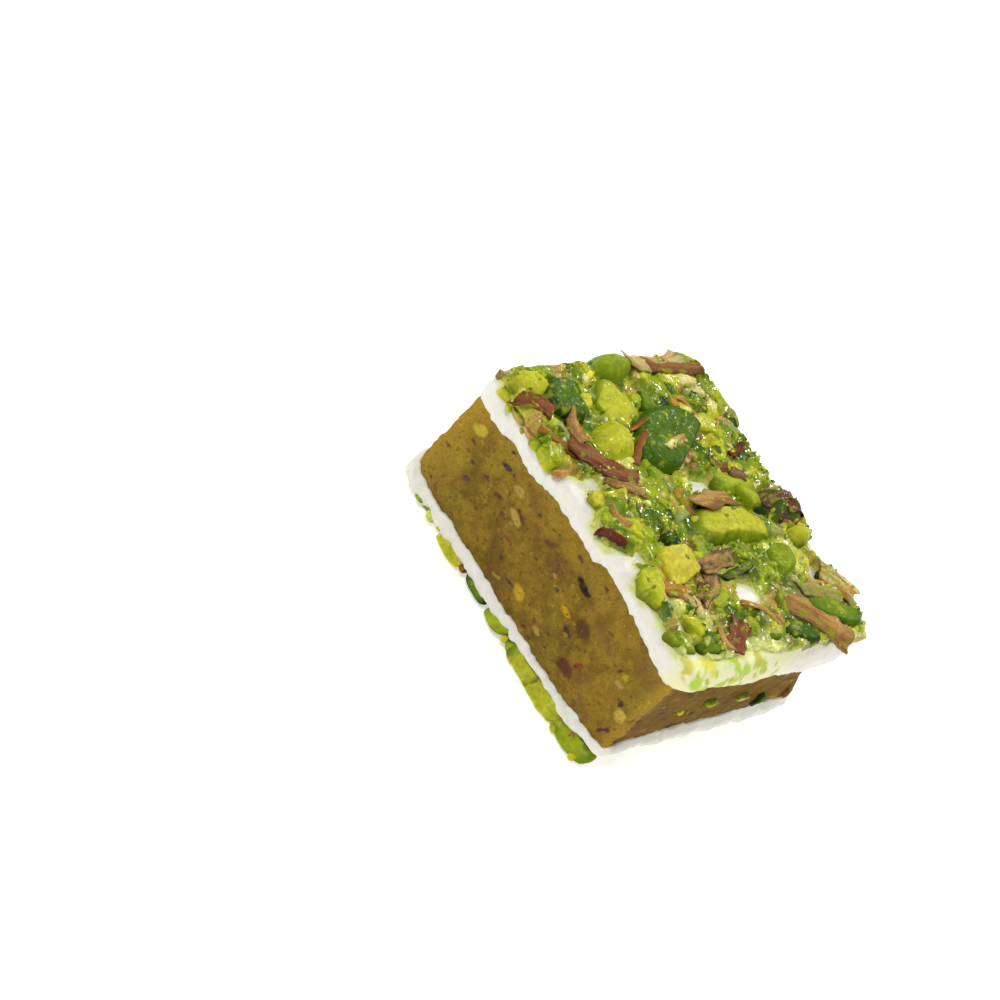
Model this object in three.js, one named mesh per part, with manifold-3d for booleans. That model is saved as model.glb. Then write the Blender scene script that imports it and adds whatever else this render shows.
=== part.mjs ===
// A layered Turkish delight: a block of pistachio paste between two layers of
// white nougat, with chopped pistachios pressed into both outer faces.
// Millimetres, +Z up. The sweet rests on its lower nuts, whose undersides are
// flattened at one level. The origin is below the middle of its bounding box,
// at that level.

import * as THREE from "three";
import { mergeVertices } from "three/addons/utils/BufferGeometryUtils.js";
import Module from "manifold-3d";

const wasm = await Module();
wasm.setup();

// Driving dimensions
const fillingLength = 40; // along X
const fillingWidth = 36; // along Y
const fillingFloor = 2.9; // mean height of the paste's underside
const fillingCeiling = 16.3; // mean height of its top
const nougatFloor = 1.0; // mean height of the lower nougat's underside
const nougatCeiling = 19.0; // mean height of the upper nougat's top
const layerGap = 0.3; // clear space between two layers
const nutEmbed = 0.9; // how deep a nut sits in the nougat
const skinEmbed = 0.35; // how deep the ends of a flake of skin sit in it
const restLevel = 0; // the lower nuts are flattened here

// How far each layer reaches past the paste on its four sides
const upperOverhang = { left: 0.4, right: 1.5, front: 0.2, back: 0.8 };
const lowerOverhang = { left: 0.6, right: 0.4, front: 0.2, back: 0.4 };

// Corner radii seen from above, and how far the rims are rounded off
const fillingCorner = 0.7;
const nougatCorner = 3.2;
const fillingRim = 0.1;
const nougatRim = 0.5;

// Unevenness: slow waves over every surface, how high they run on each, and a
// crown that thickens the paste towards the right of its front
const waves = [
  { part: 0.6, perX: 0.31, perY: 0.17, phase: 1 },
  { part: 0.4, perX: -0.23, perY: 0.53, phase: 2 },
];
const waveHeight = { fillingTop: 0.15, fillingBottom: 0.3, nougatTop: 0.35, nougatBottom: 0.25, side: 0.2 };
const sideWaveScale = 1.6; // waves along the sides are shorter by this
const crown = { height: 0.8, middle: 7, halfSpan: 26, skew: 0.3 };

// Grid of each layer's surface: cells along X, Y and Z
const fillingCells = [12, 11, 3];
const nougatCells = [12, 11, 3];

// Nuts spread by rule between the ones placed by hand
const upperNutCount = 210;
const lowerNutCount = 64;
const largestNut = 4.4;
const smallestNut = 2.0;
const edgeMargin = 0.6; // from the nougat's outline to a nut's middle
const nutSpacing = 0.42; // share of two nuts' added sizes kept between their middles
const leastNutHeight = 1.9;

// Steps of the even spread, one for each thing it sets. They are irrational, so
// that no two nuts line up or look alike.
const spread = { x: 0.7548776662, y: 0.569840291, slim: 0.414213562, flat: 0.732050808, turn: 0.236067977 };

// Nuts placed by hand on the upper face, the largest that show. Place and sizes
// are in mm, and turn is the long axis's angle from +X in degrees.
const upperNuts = [
  { kind: "kernel", x: -7.8, y: 2.5, size: [14.5, 8, 3.2], turn: 109 },
  { kind: "kernel", x: 4.5, y: 5, size: [13, 5.6, 3.6], turn: 93 },
  { kind: "kernel", x: -9.5, y: -7.8, size: [9.5, 4.8, 3.4], turn: 110 },
  { kind: "kernel", x: 17, y: 12, size: [10, 4, 3.2], turn: 65 },
  { kind: "kernel", x: 2.8, y: 14.9, size: [7.8, 5.8, 3.6], turn: 85 },
  { kind: "kernel", x: -15.8, y: -10.8, size: [8, 4.5, 3], turn: 120 },
  { kind: "kernel", x: -13.8, y: -1.2, size: [7.5, 5.5, 2.8], turn: 30 },
  { kind: "chunk", x: 7.8, y: -9.5, size: [7.5, 5.3, 3.6], turn: 90 },
  { kind: "kernel", x: -2, y: 10, size: [8, 5.5, 2.8], turn: 60 },
  { kind: "kernel", x: 9.8, y: 9, size: [5.5, 4.5, 3], turn: 115 },
  { kind: "skin", x: 17.2, y: 7.2, size: [9.5, 3.2, 1], turn: 50 },
  { kind: "skin", x: 14.3, y: 12.4, size: [9, 2.5, 0.8], turn: 70 },
  { kind: "skin", x: 0.4, y: 3.2, size: [9, 2.3, 0.8], turn: 98 },
  { kind: "skin", x: -19, y: 9.5, size: [12, 2.5, 0.9], turn: 92 },
  { kind: "skin", x: -6, y: -11.8, size: [9, 2.2, 0.8], turn: 50 },
  { kind: "skin", x: 8.3, y: -2.5, size: [8.5, 1.6, 0.9], turn: -78 },
  { kind: "chunk", x: 11.8, y: -4.7, size: [7.5, 1.9, 2.2], turn: -68 },
  { kind: "chunk", x: 19.4, y: -11.7, size: [7.5, 2.2, 2.4], turn: 80 },
  { kind: "chunk", x: 19.6, y: 0.3, size: [6, 4, 2.4], turn: 80 },
  { kind: "chunk", x: 19.6, y: 5, size: [4.5, 3, 2.2], turn: 100 },
  { kind: "skin", x: 13.6, y: 17, size: [5, 4, 0.8], turn: 40 },
  { kind: "chunk", x: 5.5, y: -3.3, size: [5, 4.5, 2.4], turn: 90 },
  { kind: "kernel", x: 9.3, y: -15.8, size: [4.6, 4, 2.8], turn: -35 },
  { kind: "chunk", x: 2.2, y: -12.5, size: [5, 4.5, 2.4], turn: 40 },
  { kind: "chunk", x: 2.5, y: -16.8, size: [4.4, 3.2, 2.8], turn: -60 },
  { kind: "chunk", x: 3.8, y: -8.6, size: [5, 2, 2.2], turn: -60 },
  { kind: "chunk", x: -3, y: -3.8, size: [4.5, 4.2, 2.4], turn: 25 },
  { kind: "chunk", x: -0.7, y: -8.5, size: [3.5, 3, 2.2], turn: 0 },
  { kind: "chunk", x: -18.8, y: 0.8, size: [6, 3.5, 2.6], turn: 85 },
  { kind: "skin", x: -11, y: -12.8, size: [4.3, 2, 0.8], turn: -10 },
  { kind: "skin", x: -14.2, y: -16.8, size: [4.5, 2.6, 0.8], turn: 30 },
  { kind: "skin", x: 17.3, y: -7.3, size: [5, 3.3, 1], turn: -50 },
  { kind: "skin", x: 10.8, y: -7.4, size: [5, 2.5, 0.9], turn: -60 },
  { kind: "kernel", x: 16, y: -16.6, size: [3.6, 3, 2.4], turn: 60 },
  { kind: "chunk", x: -16, y: 12.9, size: [5, 2, 2.4], turn: 60 },
  { kind: "chunk", x: -14.3, y: 16.6, size: [3.4, 3, 2.6], turn: 20 },
  { kind: "chunk", x: -9.2, y: 17, size: [4, 2.8, 2.4], turn: 10 },
  { kind: "chunk", x: -6.3, y: 11, size: [3.4, 3, 2.6], turn: -40 },
  { kind: "chunk", x: 19.2, y: 15.6, size: [4.8, 2, 2.2], turn: 60 },
];

// Where the upper nougat shows bare between its nuts
const bareSpots = [
  { x: 12.5, y: 0.3, radius: 1.9 },
  { x: -1.6, y: 5, radius: 1.2 },
  { x: -5, y: -16.2, radius: 2.6 },
  { x: 6, y: -16.4, radius: 2.2 },
];

// Nuts placed by hand on the lower face: those that show along the front, and
// a broad one in the middle
const lowerNuts = [
  { kind: "kernel", x: 0, y: 0, size: [9, 7, 3.6], turn: 20 },
  { kind: "chunk", x: -17.5, y: -16.6, size: [5, 3, 2.6], turn: 10 },
  { kind: "chunk", x: -8.6, y: -16.9, size: [4.6, 3.2, 2.8], turn: -10 },
  { kind: "chunk", x: -3.7, y: -16.8, size: [3.8, 3.2, 3], turn: 30 },
  { kind: "kernel", x: 1.6, y: -17.4, size: [3.8, 3, 3.2], turn: 0 },
  { kind: "kernel", x: 9.6, y: -16.8, size: [7.2, 3.8, 3.2], turn: 4 },
  { kind: "kernel", x: 16.6, y: -16.2, size: [5.6, 3.8, 3.2], turn: -8 },
];

const pasteColour = 0x8a6f2d;
const nougatColour = 0xf0eee2;

// Uneven surfaces: each is a mean height plus slow waves
function ripple(x, y, phase) {
  const parts = waves.map((wave) => wave.part * Math.sin(wave.perX * x + wave.perY * y + wave.phase * phase));
  return parts[0] + parts[1];
}

function fillingTopAt(x, y) {
  const fromMiddle = x - crown.middle - crown.skew * (y + fillingWidth / 2);
  const rise = crown.height * Math.cos((Math.PI * fromMiddle) / crown.halfSpan);
  return fillingCeiling + rise + waveHeight.fillingTop * ripple(x, y, 0.4);
}

function fillingBottomAt(x, y) {
  return fillingFloor + waveHeight.fillingBottom * ripple(x, y, 1.9);
}

function nougatTopAt(x, y) {
  return nougatCeiling + waveHeight.nougatTop * ripple(x, y, 3.1);
}

function nougatBottomAt(x, y) {
  return nougatFloor + waveHeight.nougatBottom * ripple(x, y, 5.2);
}

// A closed slab: a finely divided box whose plan is a rounded rectangle and
// whose faces follow two height functions. Its rims are drawn in by rimInset.
function slabGeometry({ cells, overhang, corner, rimInset, bulge, topAt, bottomAt }) {
  const [nx, ny, nz] = cells;
  const halfX = fillingLength / 2 + (overhang.left + overhang.right) / 2;
  const halfY = fillingWidth / 2 + (overhang.front + overhang.back) / 2;
  const middleX = (overhang.right - overhang.left) / 2;
  const middleY = (overhang.back - overhang.front) / 2;
  const geometry = new THREE.BoxGeometry(2, 2, 2, nx, ny, nz);
  geometry.deleteAttribute("normal");
  geometry.deleteAttribute("uv");
  const merged = mergeVertices(geometry);
  const position = merged.attributes.position;
  for (let i = 0; i < position.count; i++) {
    const u = position.getX(i);
    const v = position.getY(i);
    const w = position.getZ(i);
    const ring = Math.max(Math.abs(u), Math.abs(v));
    const [px, py] = roundedOutline(u, v, ring, halfX, halfY, corner);
    const atSide = ring > 0.999;
    const inset = atSide ? rimInset * w ** 4 - bulge * (1 - w * w) : 0;
    const shrink = 1 - inset / Math.min(halfX, halfY);
    const x = middleX + px * shrink;
    const y = middleY + py * shrink;
    const waver = atSide ? waveHeight.side * ripple(sideWaveScale * x, sideWaveScale * y, w) : 0;
    const rounding = atSide ? rimInset / 3 : 0;
    const low = bottomAt(x, y) + rounding;
    const high = topAt(x, y) - rounding;
    const reach = 1 + waver / Math.min(halfX, halfY);
    position.setXYZ(i, x * reach, y * reach, THREE.MathUtils.mapLinear(w, -1, 1, low, high));
  }
  return merged;
}

// The point of a rounded rectangle that a point of the square's rings maps to
function roundedOutline(u, v, ring, halfX, halfY, corner) {
  if (ring === 0) return [0, 0];
  const edgeX = (u / ring) * halfX;
  const edgeY = (v / ring) * halfY;
  const coreX = THREE.MathUtils.clamp(edgeX, corner - halfX, halfX - corner);
  const coreY = THREE.MathUtils.clamp(edgeY, corner - halfY, halfY - corner);
  const out = Math.hypot(edgeX - coreX, edgeY - coreY);
  const pull = out > corner ? corner / out : 1;
  return [ring * (coreX + (edgeX - coreX) * pull), ring * (coreY + (edgeY - coreY) * pull)];
}

// One piece of nut about the origin, a unit across each way
function nutGeometry(kind) {
  if (kind === "kernel") return new THREE.IcosahedronGeometry(0.5, 1);
  if (kind === "chunk") return new THREE.DodecahedronGeometry(0.56, 0);
  if (kind === "bit") return new THREE.IcosahedronGeometry(0.52, 0);
  return skinGeometry();
}

// A flake of skin: a thin strip that curls down to its ends and narrows there
function skinGeometry() {
  const strip = new THREE.BoxGeometry(1, 1, 1, 4, 1, 1);
  const position = strip.attributes.position;
  const curl = 1.1;
  const endWidth = 0.45;
  for (let i = 0; i < position.count; i++) {
    const along = 2 * position.getX(i);
    const narrowing = 1 - (1 - endWidth) * along * along;
    position.setY(i, position.getY(i) * narrowing);
    position.setZ(i, position.getZ(i) - curl * along * along);
  }
  return strip;
}

// A nut at its size and turn, let into a layer's face by nutEmbed
function placedNut({ kind, x, y, size, turn }, surfaceAt, side) {
  const geometry = nutGeometry(kind);
  geometry.scale(...size);
  geometry.rotateZ(THREE.MathUtils.degToRad(turn));
  geometry.computeBoundingBox();
  const surface = surfaceAt(x, y);
  const embed = kind === "skin" ? skinEmbed : nutEmbed;
  const depth = side > 0 ? -embed - geometry.boundingBox.min.z : embed - geometry.boundingBox.max.z;
  return geometry.translate(x, y, surface + depth);
}

// Nuts spread evenly over a layer by a low-discrepancy sequence, the largest
// first, leaving out those too near a nut that is already there
function nutsByRule(count, placed, bare, overhang) {
  const left = edgeMargin - fillingLength / 2 - overhang.left;
  const right = fillingLength / 2 + overhang.right - edgeMargin;
  const front = edgeMargin - fillingWidth / 2 - overhang.front;
  const back = fillingWidth / 2 + overhang.back - edgeMargin;
  const found = [];
  for (let n = 1; n <= count; n++) {
    const x = THREE.MathUtils.lerp(left, right, share(n, spread.x));
    const y = THREE.MathUtils.lerp(front, back, share(n, spread.y));
    const size = THREE.MathUtils.lerp(largestNut, smallestNut, n / count);
    const taken = [...placed, ...found].some((nut) => reaches(nut, x, y, size));
    const open = bare.some((spot) => Math.hypot(x - spot.x, y - spot.y) < spot.radius + size / 3);
    if (taken || open) continue;
    const slim = 0.6 + 0.35 * share(n, spread.slim);
    const flat = 0.5 + 0.2 * share(n, spread.flat);
    const turn = 360 * share(n, spread.turn);
    const kind = n % 3 === 0 ? "chunk" : "bit";
    found.push({ kind, x, y, size: [size, size * slim, Math.max(size * flat, leastNutHeight)], turn });
  }
  return found;
}

function share(n, step) {
  return (0.5 + n * step) % 1;
}

// Whether a nut's outline, seen from above, comes near a new nut of that size
function reaches(nut, x, y, size) {
  const turn = THREE.MathUtils.degToRad(nut.turn);
  const dx = x - nut.x;
  const dy = y - nut.y;
  const along = (dx * Math.cos(turn) + dy * Math.sin(turn)) / (nut.size[0] + size);
  const across = (dy * Math.cos(turn) - dx * Math.sin(turn)) / (nut.size[1] + size);
  return Math.hypot(along, across) < nutSpacing;
}

// Booleans
function solidOf(geometry) {
  geometry.deleteAttribute("normal");
  geometry.deleteAttribute("uv");
  const merged = mergeVertices(geometry);
  const vertProperties = new Float32Array(merged.attributes.position.array);
  const triVerts = new Uint32Array(merged.index.array);
  return new wasm.Manifold(new wasm.Mesh({ numProp: 3, vertProperties, triVerts }));
}

function geometryOf(solid) {
  const { vertProperties, triVerts } = solid.getMesh();
  const geometry = new THREE.BufferGeometry();
  geometry.setAttribute("position", new THREE.BufferAttribute(vertProperties, 3));
  geometry.setIndex(new THREE.BufferAttribute(triVerts, 1));
  geometry.computeVertexNormals();
  return geometry;
}

// The largest body of a solid: loose scraps are dropped and sealed hollows filled
function largestBody(solid) {
  return solid.decompose().sort((a, b) => b.volume() - a.volume())[0];
}

// A nougat layer with its nuts fused on
function nuttedLayer(slab, nuts, surfaceAt, side) {
  const pieces = nuts.map((nut) => solidOf(placedNut(nut, surfaceAt, side)));
  return wasm.Manifold.union([solidOf(slab), ...pieces]);
}

// What lies below the rest level, to be cut off
function belowRest() {
  const depth = 10;
  const block = new THREE.BoxGeometry(2 * fillingLength, 2 * fillingWidth, depth);
  return solidOf(block.translate(0, 0, restLevel - depth / 2));
}

function filling() {
  return slabGeometry({
    cells: fillingCells,
    overhang: { left: 0, right: 0, front: 0, back: 0 },
    corner: fillingCorner,
    rimInset: fillingRim,
    bulge: 0.05,
    topAt: fillingTopAt,
    bottomAt: fillingBottomAt,
  });
}

function upperNougat() {
  const slab = slabGeometry({
    cells: nougatCells,
    overhang: upperOverhang,
    corner: nougatCorner,
    rimInset: nougatRim,
    bulge: 0.1,
    topAt: nougatTopAt,
    bottomAt: (x, y) => fillingTopAt(x, y) + layerGap,
  });
  const nuts = [...upperNuts, ...nutsByRule(upperNutCount, upperNuts, bareSpots, upperOverhang)];
  return geometryOf(largestBody(nuttedLayer(slab, nuts, nougatTopAt, 1)));
}

function lowerNougat() {
  const slab = slabGeometry({
    cells: nougatCells,
    overhang: lowerOverhang,
    corner: nougatCorner,
    rimInset: nougatRim,
    bulge: 0.1,
    topAt: (x, y) => fillingBottomAt(x, y) - layerGap,
    bottomAt: nougatBottomAt,
  });
  const nuts = [...lowerNuts, ...nutsByRule(lowerNutCount, lowerNuts, [], lowerOverhang)];
  const layer = nuttedLayer(slab, nuts, nougatBottomAt, -1).subtract(belowRest());
  return geometryOf(largestBody(layer));
}

function layerMesh(name, geometry, color, roughness) {
  const mesh = new THREE.Mesh(geometry, new THREE.MeshStandardMaterial({ color, roughness, metalness: 0 }));
  mesh.name = name;
  return mesh;
}

const sweet = new THREE.Group();
sweet.add(layerMesh("pistachio_filling", filling(), pasteColour, 0.4));
sweet.add(layerMesh("upper_nougat", upperNougat(), nougatColour, 0.8));
sweet.add(layerMesh("lower_nougat", lowerNougat(), nougatColour, 0.8));

// Stand the sweet over the origin
const box = new THREE.Box3().setFromObject(sweet, true);
const middle = box.getCenter(new THREE.Vector3());
sweet.children.forEach((mesh) => mesh.position.set(-middle.x, -middle.y, -box.min.z));

export default sweet;
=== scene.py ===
import math

import bpy
import numpy as np
from mathutils import Matrix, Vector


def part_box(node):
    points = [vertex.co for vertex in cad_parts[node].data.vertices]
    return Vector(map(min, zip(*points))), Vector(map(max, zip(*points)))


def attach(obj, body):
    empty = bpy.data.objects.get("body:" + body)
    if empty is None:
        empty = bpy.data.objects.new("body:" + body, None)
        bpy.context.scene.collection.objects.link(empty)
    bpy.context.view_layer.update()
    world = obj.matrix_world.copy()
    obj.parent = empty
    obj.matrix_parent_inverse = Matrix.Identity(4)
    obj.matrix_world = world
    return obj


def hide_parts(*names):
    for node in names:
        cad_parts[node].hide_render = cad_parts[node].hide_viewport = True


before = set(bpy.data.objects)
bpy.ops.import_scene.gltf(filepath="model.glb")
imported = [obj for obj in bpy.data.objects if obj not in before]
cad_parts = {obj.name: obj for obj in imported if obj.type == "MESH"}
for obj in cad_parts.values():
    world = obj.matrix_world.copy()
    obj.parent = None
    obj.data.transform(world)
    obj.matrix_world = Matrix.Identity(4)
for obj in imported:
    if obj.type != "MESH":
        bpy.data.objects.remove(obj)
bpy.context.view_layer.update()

mm = 0.001  # shapes are worked out in mm and stored in metres
blockBox = np.array(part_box("pistachio_filling")) / mm
shift = np.append(blockBox.mean(axis=0)[:2], 0.0)  # the CAD block's middle in the part's frame


# small helpers

def toLinear(hexColour):
    channels = [int(hexColour[i:i + 2], 16) / 255 for i in (1, 3, 5)]
    return np.array([c / 12.92 if c <= 0.04045 else ((c + 0.055) / 1.055) ** 2.4 for c in channels])


def rgba(hexColour):
    return [*toLinear(hexColour), 1.0]


def smoothStep(low, high, value):
    part = np.clip((value - low) / (high - low), 0, 1)
    return part * part * (3 - 2 * part)


def blendTo(first, second, share):
    share = np.asarray(share)[..., None]
    return first * (1 - share) + second * share


# large whole numbers scramble a cell's place into a value
noise = {"primes": np.array([73856093, 19349663, 83492791]), "mixer": 1274126177, "seedStep": 31.7}


def lumpNoise(points, size, seed):
    # smooth random field between -1 and 1 with lumps of about this size in mm
    scaled = points / size + noise["seedStep"] * seed
    cell = np.floor(scaled)
    part = scaled - cell
    ease = part * part * (3 - 2 * part)
    cell = cell.astype(np.int64)
    total = np.zeros(len(points))
    for corner in np.ndindex(2, 2, 2):
        key = (cell + corner) @ noise["primes"]
        key = (key ^ (key >> 13)) * noise["mixer"]
        value = ((key ^ (key >> 16)) & 0xfffff) / 0x80000 - 1
        total += value * np.prod(np.where(np.array(corner) == 1, ease, 1 - ease), axis=1)
    return total


def lumps(points, *fields):
    # several such fields together, each as weight, size and seed
    return sum(weight * lumpNoise(points, size, seed) for weight, size, seed in fields)


def flatPoints(x, y):
    return np.column_stack([x, y, np.zeros(len(x))])


def onLine(rows, way):
    # the value at a way along a line that is given as (way, value) rows
    return np.interp(way, *np.array(rows).T)


# the nougat's outer faces: mean height and height of the waves in mm, and their phase
outerFace = {True: (19.0, 0.35, 3.1), False: (1.0, 0.25, 5.2)}


def faceAt(upper, x, y):
    # the slow waves that the CAD layers have too
    height, wave, phase = outerFace[upper]
    ripple = 0.6 * np.sin(0.31 * x + 0.17 * y + phase) + 0.4 * np.sin(0.53 * y - 0.23 * x + 2 * phase)
    return height + wave * ripple


def addNode(tree, kind, settings=None, links=None):
    node = tree.nodes.new(kind)
    for key, value in (settings or {}).items():
        if isinstance(key, str) and hasattr(node, key):
            setattr(node, key, value)
        else:
            node.inputs[key].default_value = value
    for key, (source, output) in (links or {}).items():
        tree.links.new(source.outputs[output], node.inputs[key])
    return node


def addPiece(name, points, faces, material, tint=None, extra=None):
    mesh = bpy.data.meshes.new(name)
    mesh.from_pydata(((points + shift) * mm).tolist(), [], [list(face) for face in faces])
    if tint is not None:
        opaque = np.column_stack([tint, np.ones(len(tint))])
        colours = mesh.attributes.new("tint", "FLOAT_COLOR", "POINT")
        colours.data.foreach_set("color", opaque.astype(np.float32).ravel())
    for key, values in (extra or {}).items():
        kind, field = ("FLOAT", "value") if values.ndim == 1 else ("FLOAT_VECTOR", "vector")
        attribute = mesh.attributes.new(key, kind, "POINT")
        attribute.data.foreach_set(field, values.astype(np.float32).ravel())
    mesh.materials.append(material)
    mesh.shade_smooth()
    mesh.validate()
    piece = bpy.data.objects.new(name, mesh)
    bpy.context.collection.objects.link(piece)
    return piece


def joinShapes(shapes):
    # several (points, faces, tint) as one
    points, faces, tints, count = [], [], [], 0
    for shapePoints, shapeFaces, shapeTint in shapes:
        points.append(shapePoints)
        tints.append(shapeTint)
        faces.extend([corner + count for corner in face] for face in shapeFaces)
        count += len(shapePoints)
    return np.concatenate(points), faces, np.concatenate(tints)


def gridFaces(rows, columns):
    # the quads of a grid of points, and its border once round
    index = np.arange(rows * columns).reshape(rows, columns)
    quads = np.stack([index[:-1, :-1], index[1:, :-1], index[1:, 1:], index[:-1, 1:]], axis=-1)
    border = np.concatenate([index[:-1, 0], index[-1, :-1], index[:0:-1, -1], index[0, :0:-1]])
    return quads.reshape(-1, 4), border


# colours of nuts and skins under soft daylight: fresh pistachio is a yellowish green
tone = {name: toLinear(code) for name, code in {
    "shade": "#233a06", "deep": "#3f5e0a", "leaf": "#688012", "green": "#829318", "bright": "#99a51c",
    "lime": "#b3b32c", "yellow": "#c3ba36", "gold": "#dcd138", "grey": "#8b944c", "pale": "#d6ca80",
    "tan": "#b88e4f", "orange": "#b97d38", "brown": "#8f6236", "rust": "#87512b", "maroon": "#6a3324",
    "purple": "#5e4639", "cream": "#e5e2d7", "mint": "#d3d96a", "fresh": "#aecb26", "moss": "#48650b",
    "film": "#e8e992", "butter": "#c0b53e",
}.items()}


# materials

def newMaterial(name):
    material = bpy.data.materials.new(name)
    material.use_nodes = True
    material.node_tree.nodes.clear()
    return material, material.node_tree


def tintedMaterial(name):
    # starts from the mesh's own colours and from the place on the object
    material, tree = newMaterial(name)
    place = addNode(tree, "ShaderNodeTexCoord")
    tint = addNode(tree, "ShaderNodeAttribute", {"attribute_name": "tint"})
    return material, tree, place, tint


def addNoise(tree, place, size, detail, roughness=0.5):
    settings = {"Scale": 1 / (size * mm), "Detail": detail, "Roughness": roughness}
    return addNode(tree, "ShaderNodeTexNoise", settings, {"Vector": (place, "Object")})


def addRange(tree, source, output, fromLow, fromHigh, toLow, toHigh):
    limits = {"From Min": fromLow, "From Max": fromHigh, "To Min": toLow, "To Max": toHigh}
    return addNode(tree, "ShaderNodeMapRange", limits, {"Value": (source, output)})


def addProduct(tree, first, second):
    settings = {"data_type": "RGBA", "blend_type": "MULTIPLY", 0: 1.0}
    return addNode(tree, "ShaderNodeMix", settings, {6: first, 7: second})


def addBump(tree, strength, distance, source):
    settings = {"Strength": strength, "Distance": distance}
    return addNode(tree, "ShaderNodeBump", settings, {"Height": (source, "Fac")})


def addSurface(tree, settings, links):
    shader = addNode(tree, "ShaderNodeBsdfPrincipled", settings, links)
    addNode(tree, "ShaderNodeOutputMaterial", links={"Surface": (shader, "BSDF")})


paste = {
    "grainSize": 0.24,  # mm, starch grains and ground nut
    "poreSize": 0.55,
    # pale crystals in about half the places
    "sugarSpacing": 0.7, "sugarSize": 0.12, "sugarColour": "#d8bf7c",
    "bump": 0.00011,
}


def pasteMaterial():
    # Pistachio paste cut with a knife: firm and moist, so its edges glow golden (partly painted light) and
    # its face has a low sheen
    material, tree, place, tint = tintedMaterial("pistachio_paste_knife_cut")
    grain = addNoise(tree, place, paste["grainSize"], 5.0, 0.75)
    light = addRange(tree, grain, "Fac", 0.5, 0.78, 1.0, 1.8)
    lit = addProduct(tree, (tint, "Color"), (light, "Result"))
    # painted shade: the paste is darker in small pits
    pores = addNoise(tree, place, paste["poreSize"], 4.0)
    pitShade = addRange(tree, pores, "Fac", 0.60, 0.70, 1.0, 0.5)
    pitted = addProduct(tree, (lit, 2), (pitShade, "Result"))
    crystals = addNode(tree, "ShaderNodeTexVoronoi", {"Scale": 1 / (paste["sugarSpacing"] * mm)},
                       {"Vector": (place, "Object")})
    reach = 0.5 * paste["sugarSize"] / paste["sugarSpacing"]
    dot = addRange(tree, crystals, "Distance", 0.8 * reach, 1.4 * reach, 1.0, 0.0)
    draw = addNode(tree, "ShaderNodeSeparateColor", links={"Color": (crystals, "Color")})
    chosen = addRange(tree, draw, "Red", 0.4, 1.0, 0.0, 0.75)
    share = addNode(tree, "ShaderNodeMath", {"operation": "MULTIPLY"},
                    {0: (dot, "Result"), 1: (chosen, "Result")})
    sugared = addNode(tree, "ShaderNodeMix", {"data_type": "RGBA", 7: rgba(paste["sugarColour"])},
                      {0: (share, 0), 6: (pitted, 2)})
    bump = addBump(tree, 0.6, paste["bump"], grain)
    addSurface(tree, {
        "Roughness": 0.6, "IOR": 1.4, "Specular IOR Level": 0.04, "Subsurface Weight": 0.3,
        "Subsurface Scale": 0.001, "Subsurface Radius": (2.0, 1.1, 0.3),
    }, {"Base Color": (sugared, 2), "Normal": (bump, "Normal")})
    return material


whip = {"bubbleSize": 0.6, "bump": 0.0004}


def nougatMaterial():
    # Whipped nougat, spread and set: egg-white foam, matte and pure white, stained where nuts lie in it
    material, tree, place, tint = tintedMaterial("whipped_nougat_spread")
    foam = addNoise(tree, place, whip["bubbleSize"], 7.0, 0.6)
    bump = addBump(tree, 0.5, whip["bump"], foam)
    addSurface(tree, {
        "Roughness": 0.62, "IOR": 1.4, "Subsurface Weight": 0.3, "Subsurface Scale": 0.001,
        "Subsurface Radius": (1.2, 1.1, 0.8),
    }, {"Base Color": (tint, "Color"), "Normal": (bump, "Normal")})
    return material


syrup = {"roughness": 0.1, "ior": 1.5, "thinnest": 0.12}


def nutMaterial(name, fleckSize, fleckShare, bumpDepth, roughness, wet, waveSize, waveSlope, glow,
                level=False):
    # sizes in mm; wet is the syrup's weight in its drops, and glow how far light gets into the flesh
    material, tree, place, tint = tintedMaterial(name)
    fleck = addNoise(tree, place, fleckSize, 4.0, 0.6)
    change = addRange(tree, fleck, "Fac", 0.3, 0.7, 1 - fleckShare, 1 + fleckShare)
    colour = addProduct(tree, (tint, "Color"), (change, "Result"))
    bump = addBump(tree, 0.7, bumpDepth, fleck)
    # the syrup lies on the flesh in a wavy film of its own, gathered in drops
    wave = addNoise(tree, place, waveSize, 0.0)
    film = addBump(tree, 1.0, waveSlope * waveSize * mm, wave)
    if level:  # it has found its own level over the crumbs
        flow = addNode(tree, "ShaderNodeAttribute", {"attribute_name": "flow"})
        tree.links.new(flow.outputs["Vector"], film.inputs["Normal"])
    drops = addRange(tree, wave, "Fac", 0.48, 0.56, syrup["thinnest"] * wet, wet)
    addSurface(tree, {
        "Roughness": roughness, "IOR": 1.45, "Specular IOR Level": 0.06, "Subsurface Weight": glow,
        "Subsurface Scale": 0.001, "Subsurface Radius": (0.8, 0.9, 0.2),
        "Coat Roughness": syrup["roughness"], "Coat IOR": syrup["ior"],
    }, {"Base Color": (colour, 2), "Normal": (bump, "Normal"), "Coat Weight": (drops, "Result"),
        "Coat Normal": (film, "Normal")})
    return material


pasteLook = pasteMaterial()
nougatLook = nougatMaterial()
# Chopped pistachio kernel, moist with syrup: waxy cut faces, small sharp glints
kernelLook = nutMaterial("pistachio_kernel_chopped", fleckSize=0.6, fleckShare=0.2, bumpDepth=0.00006,
                         roughness=0.45, wet=0.2, waveSize=0.45, waveSlope=0.22, glow=0.35)
# Pistachio ground to crumbs: the same flesh, rougher, under a film of syrup that glints all over
crumbLook = nutMaterial("pistachio_ground_moist", fleckSize=0.3, fleckShare=0.35, bumpDepth=0.00012,
                        roughness=0.45, wet=1.0, waveSize=0.9, waveSlope=0.25, glow=0.2, level=True)
# Papery seed skin, dried and broken: streaked brown, hardly any gloss
skinLook = nutMaterial("pistachio_skin_dried", fleckSize=0.22, fleckShare=0.32, bumpDepth=0.0001,
                       roughness=0.55, wet=0.15, waveSize=0.3, waveSlope=0.2, glow=0.1)
print("materials ready")


# the cut block and its layers, all worked out round one outline

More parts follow.
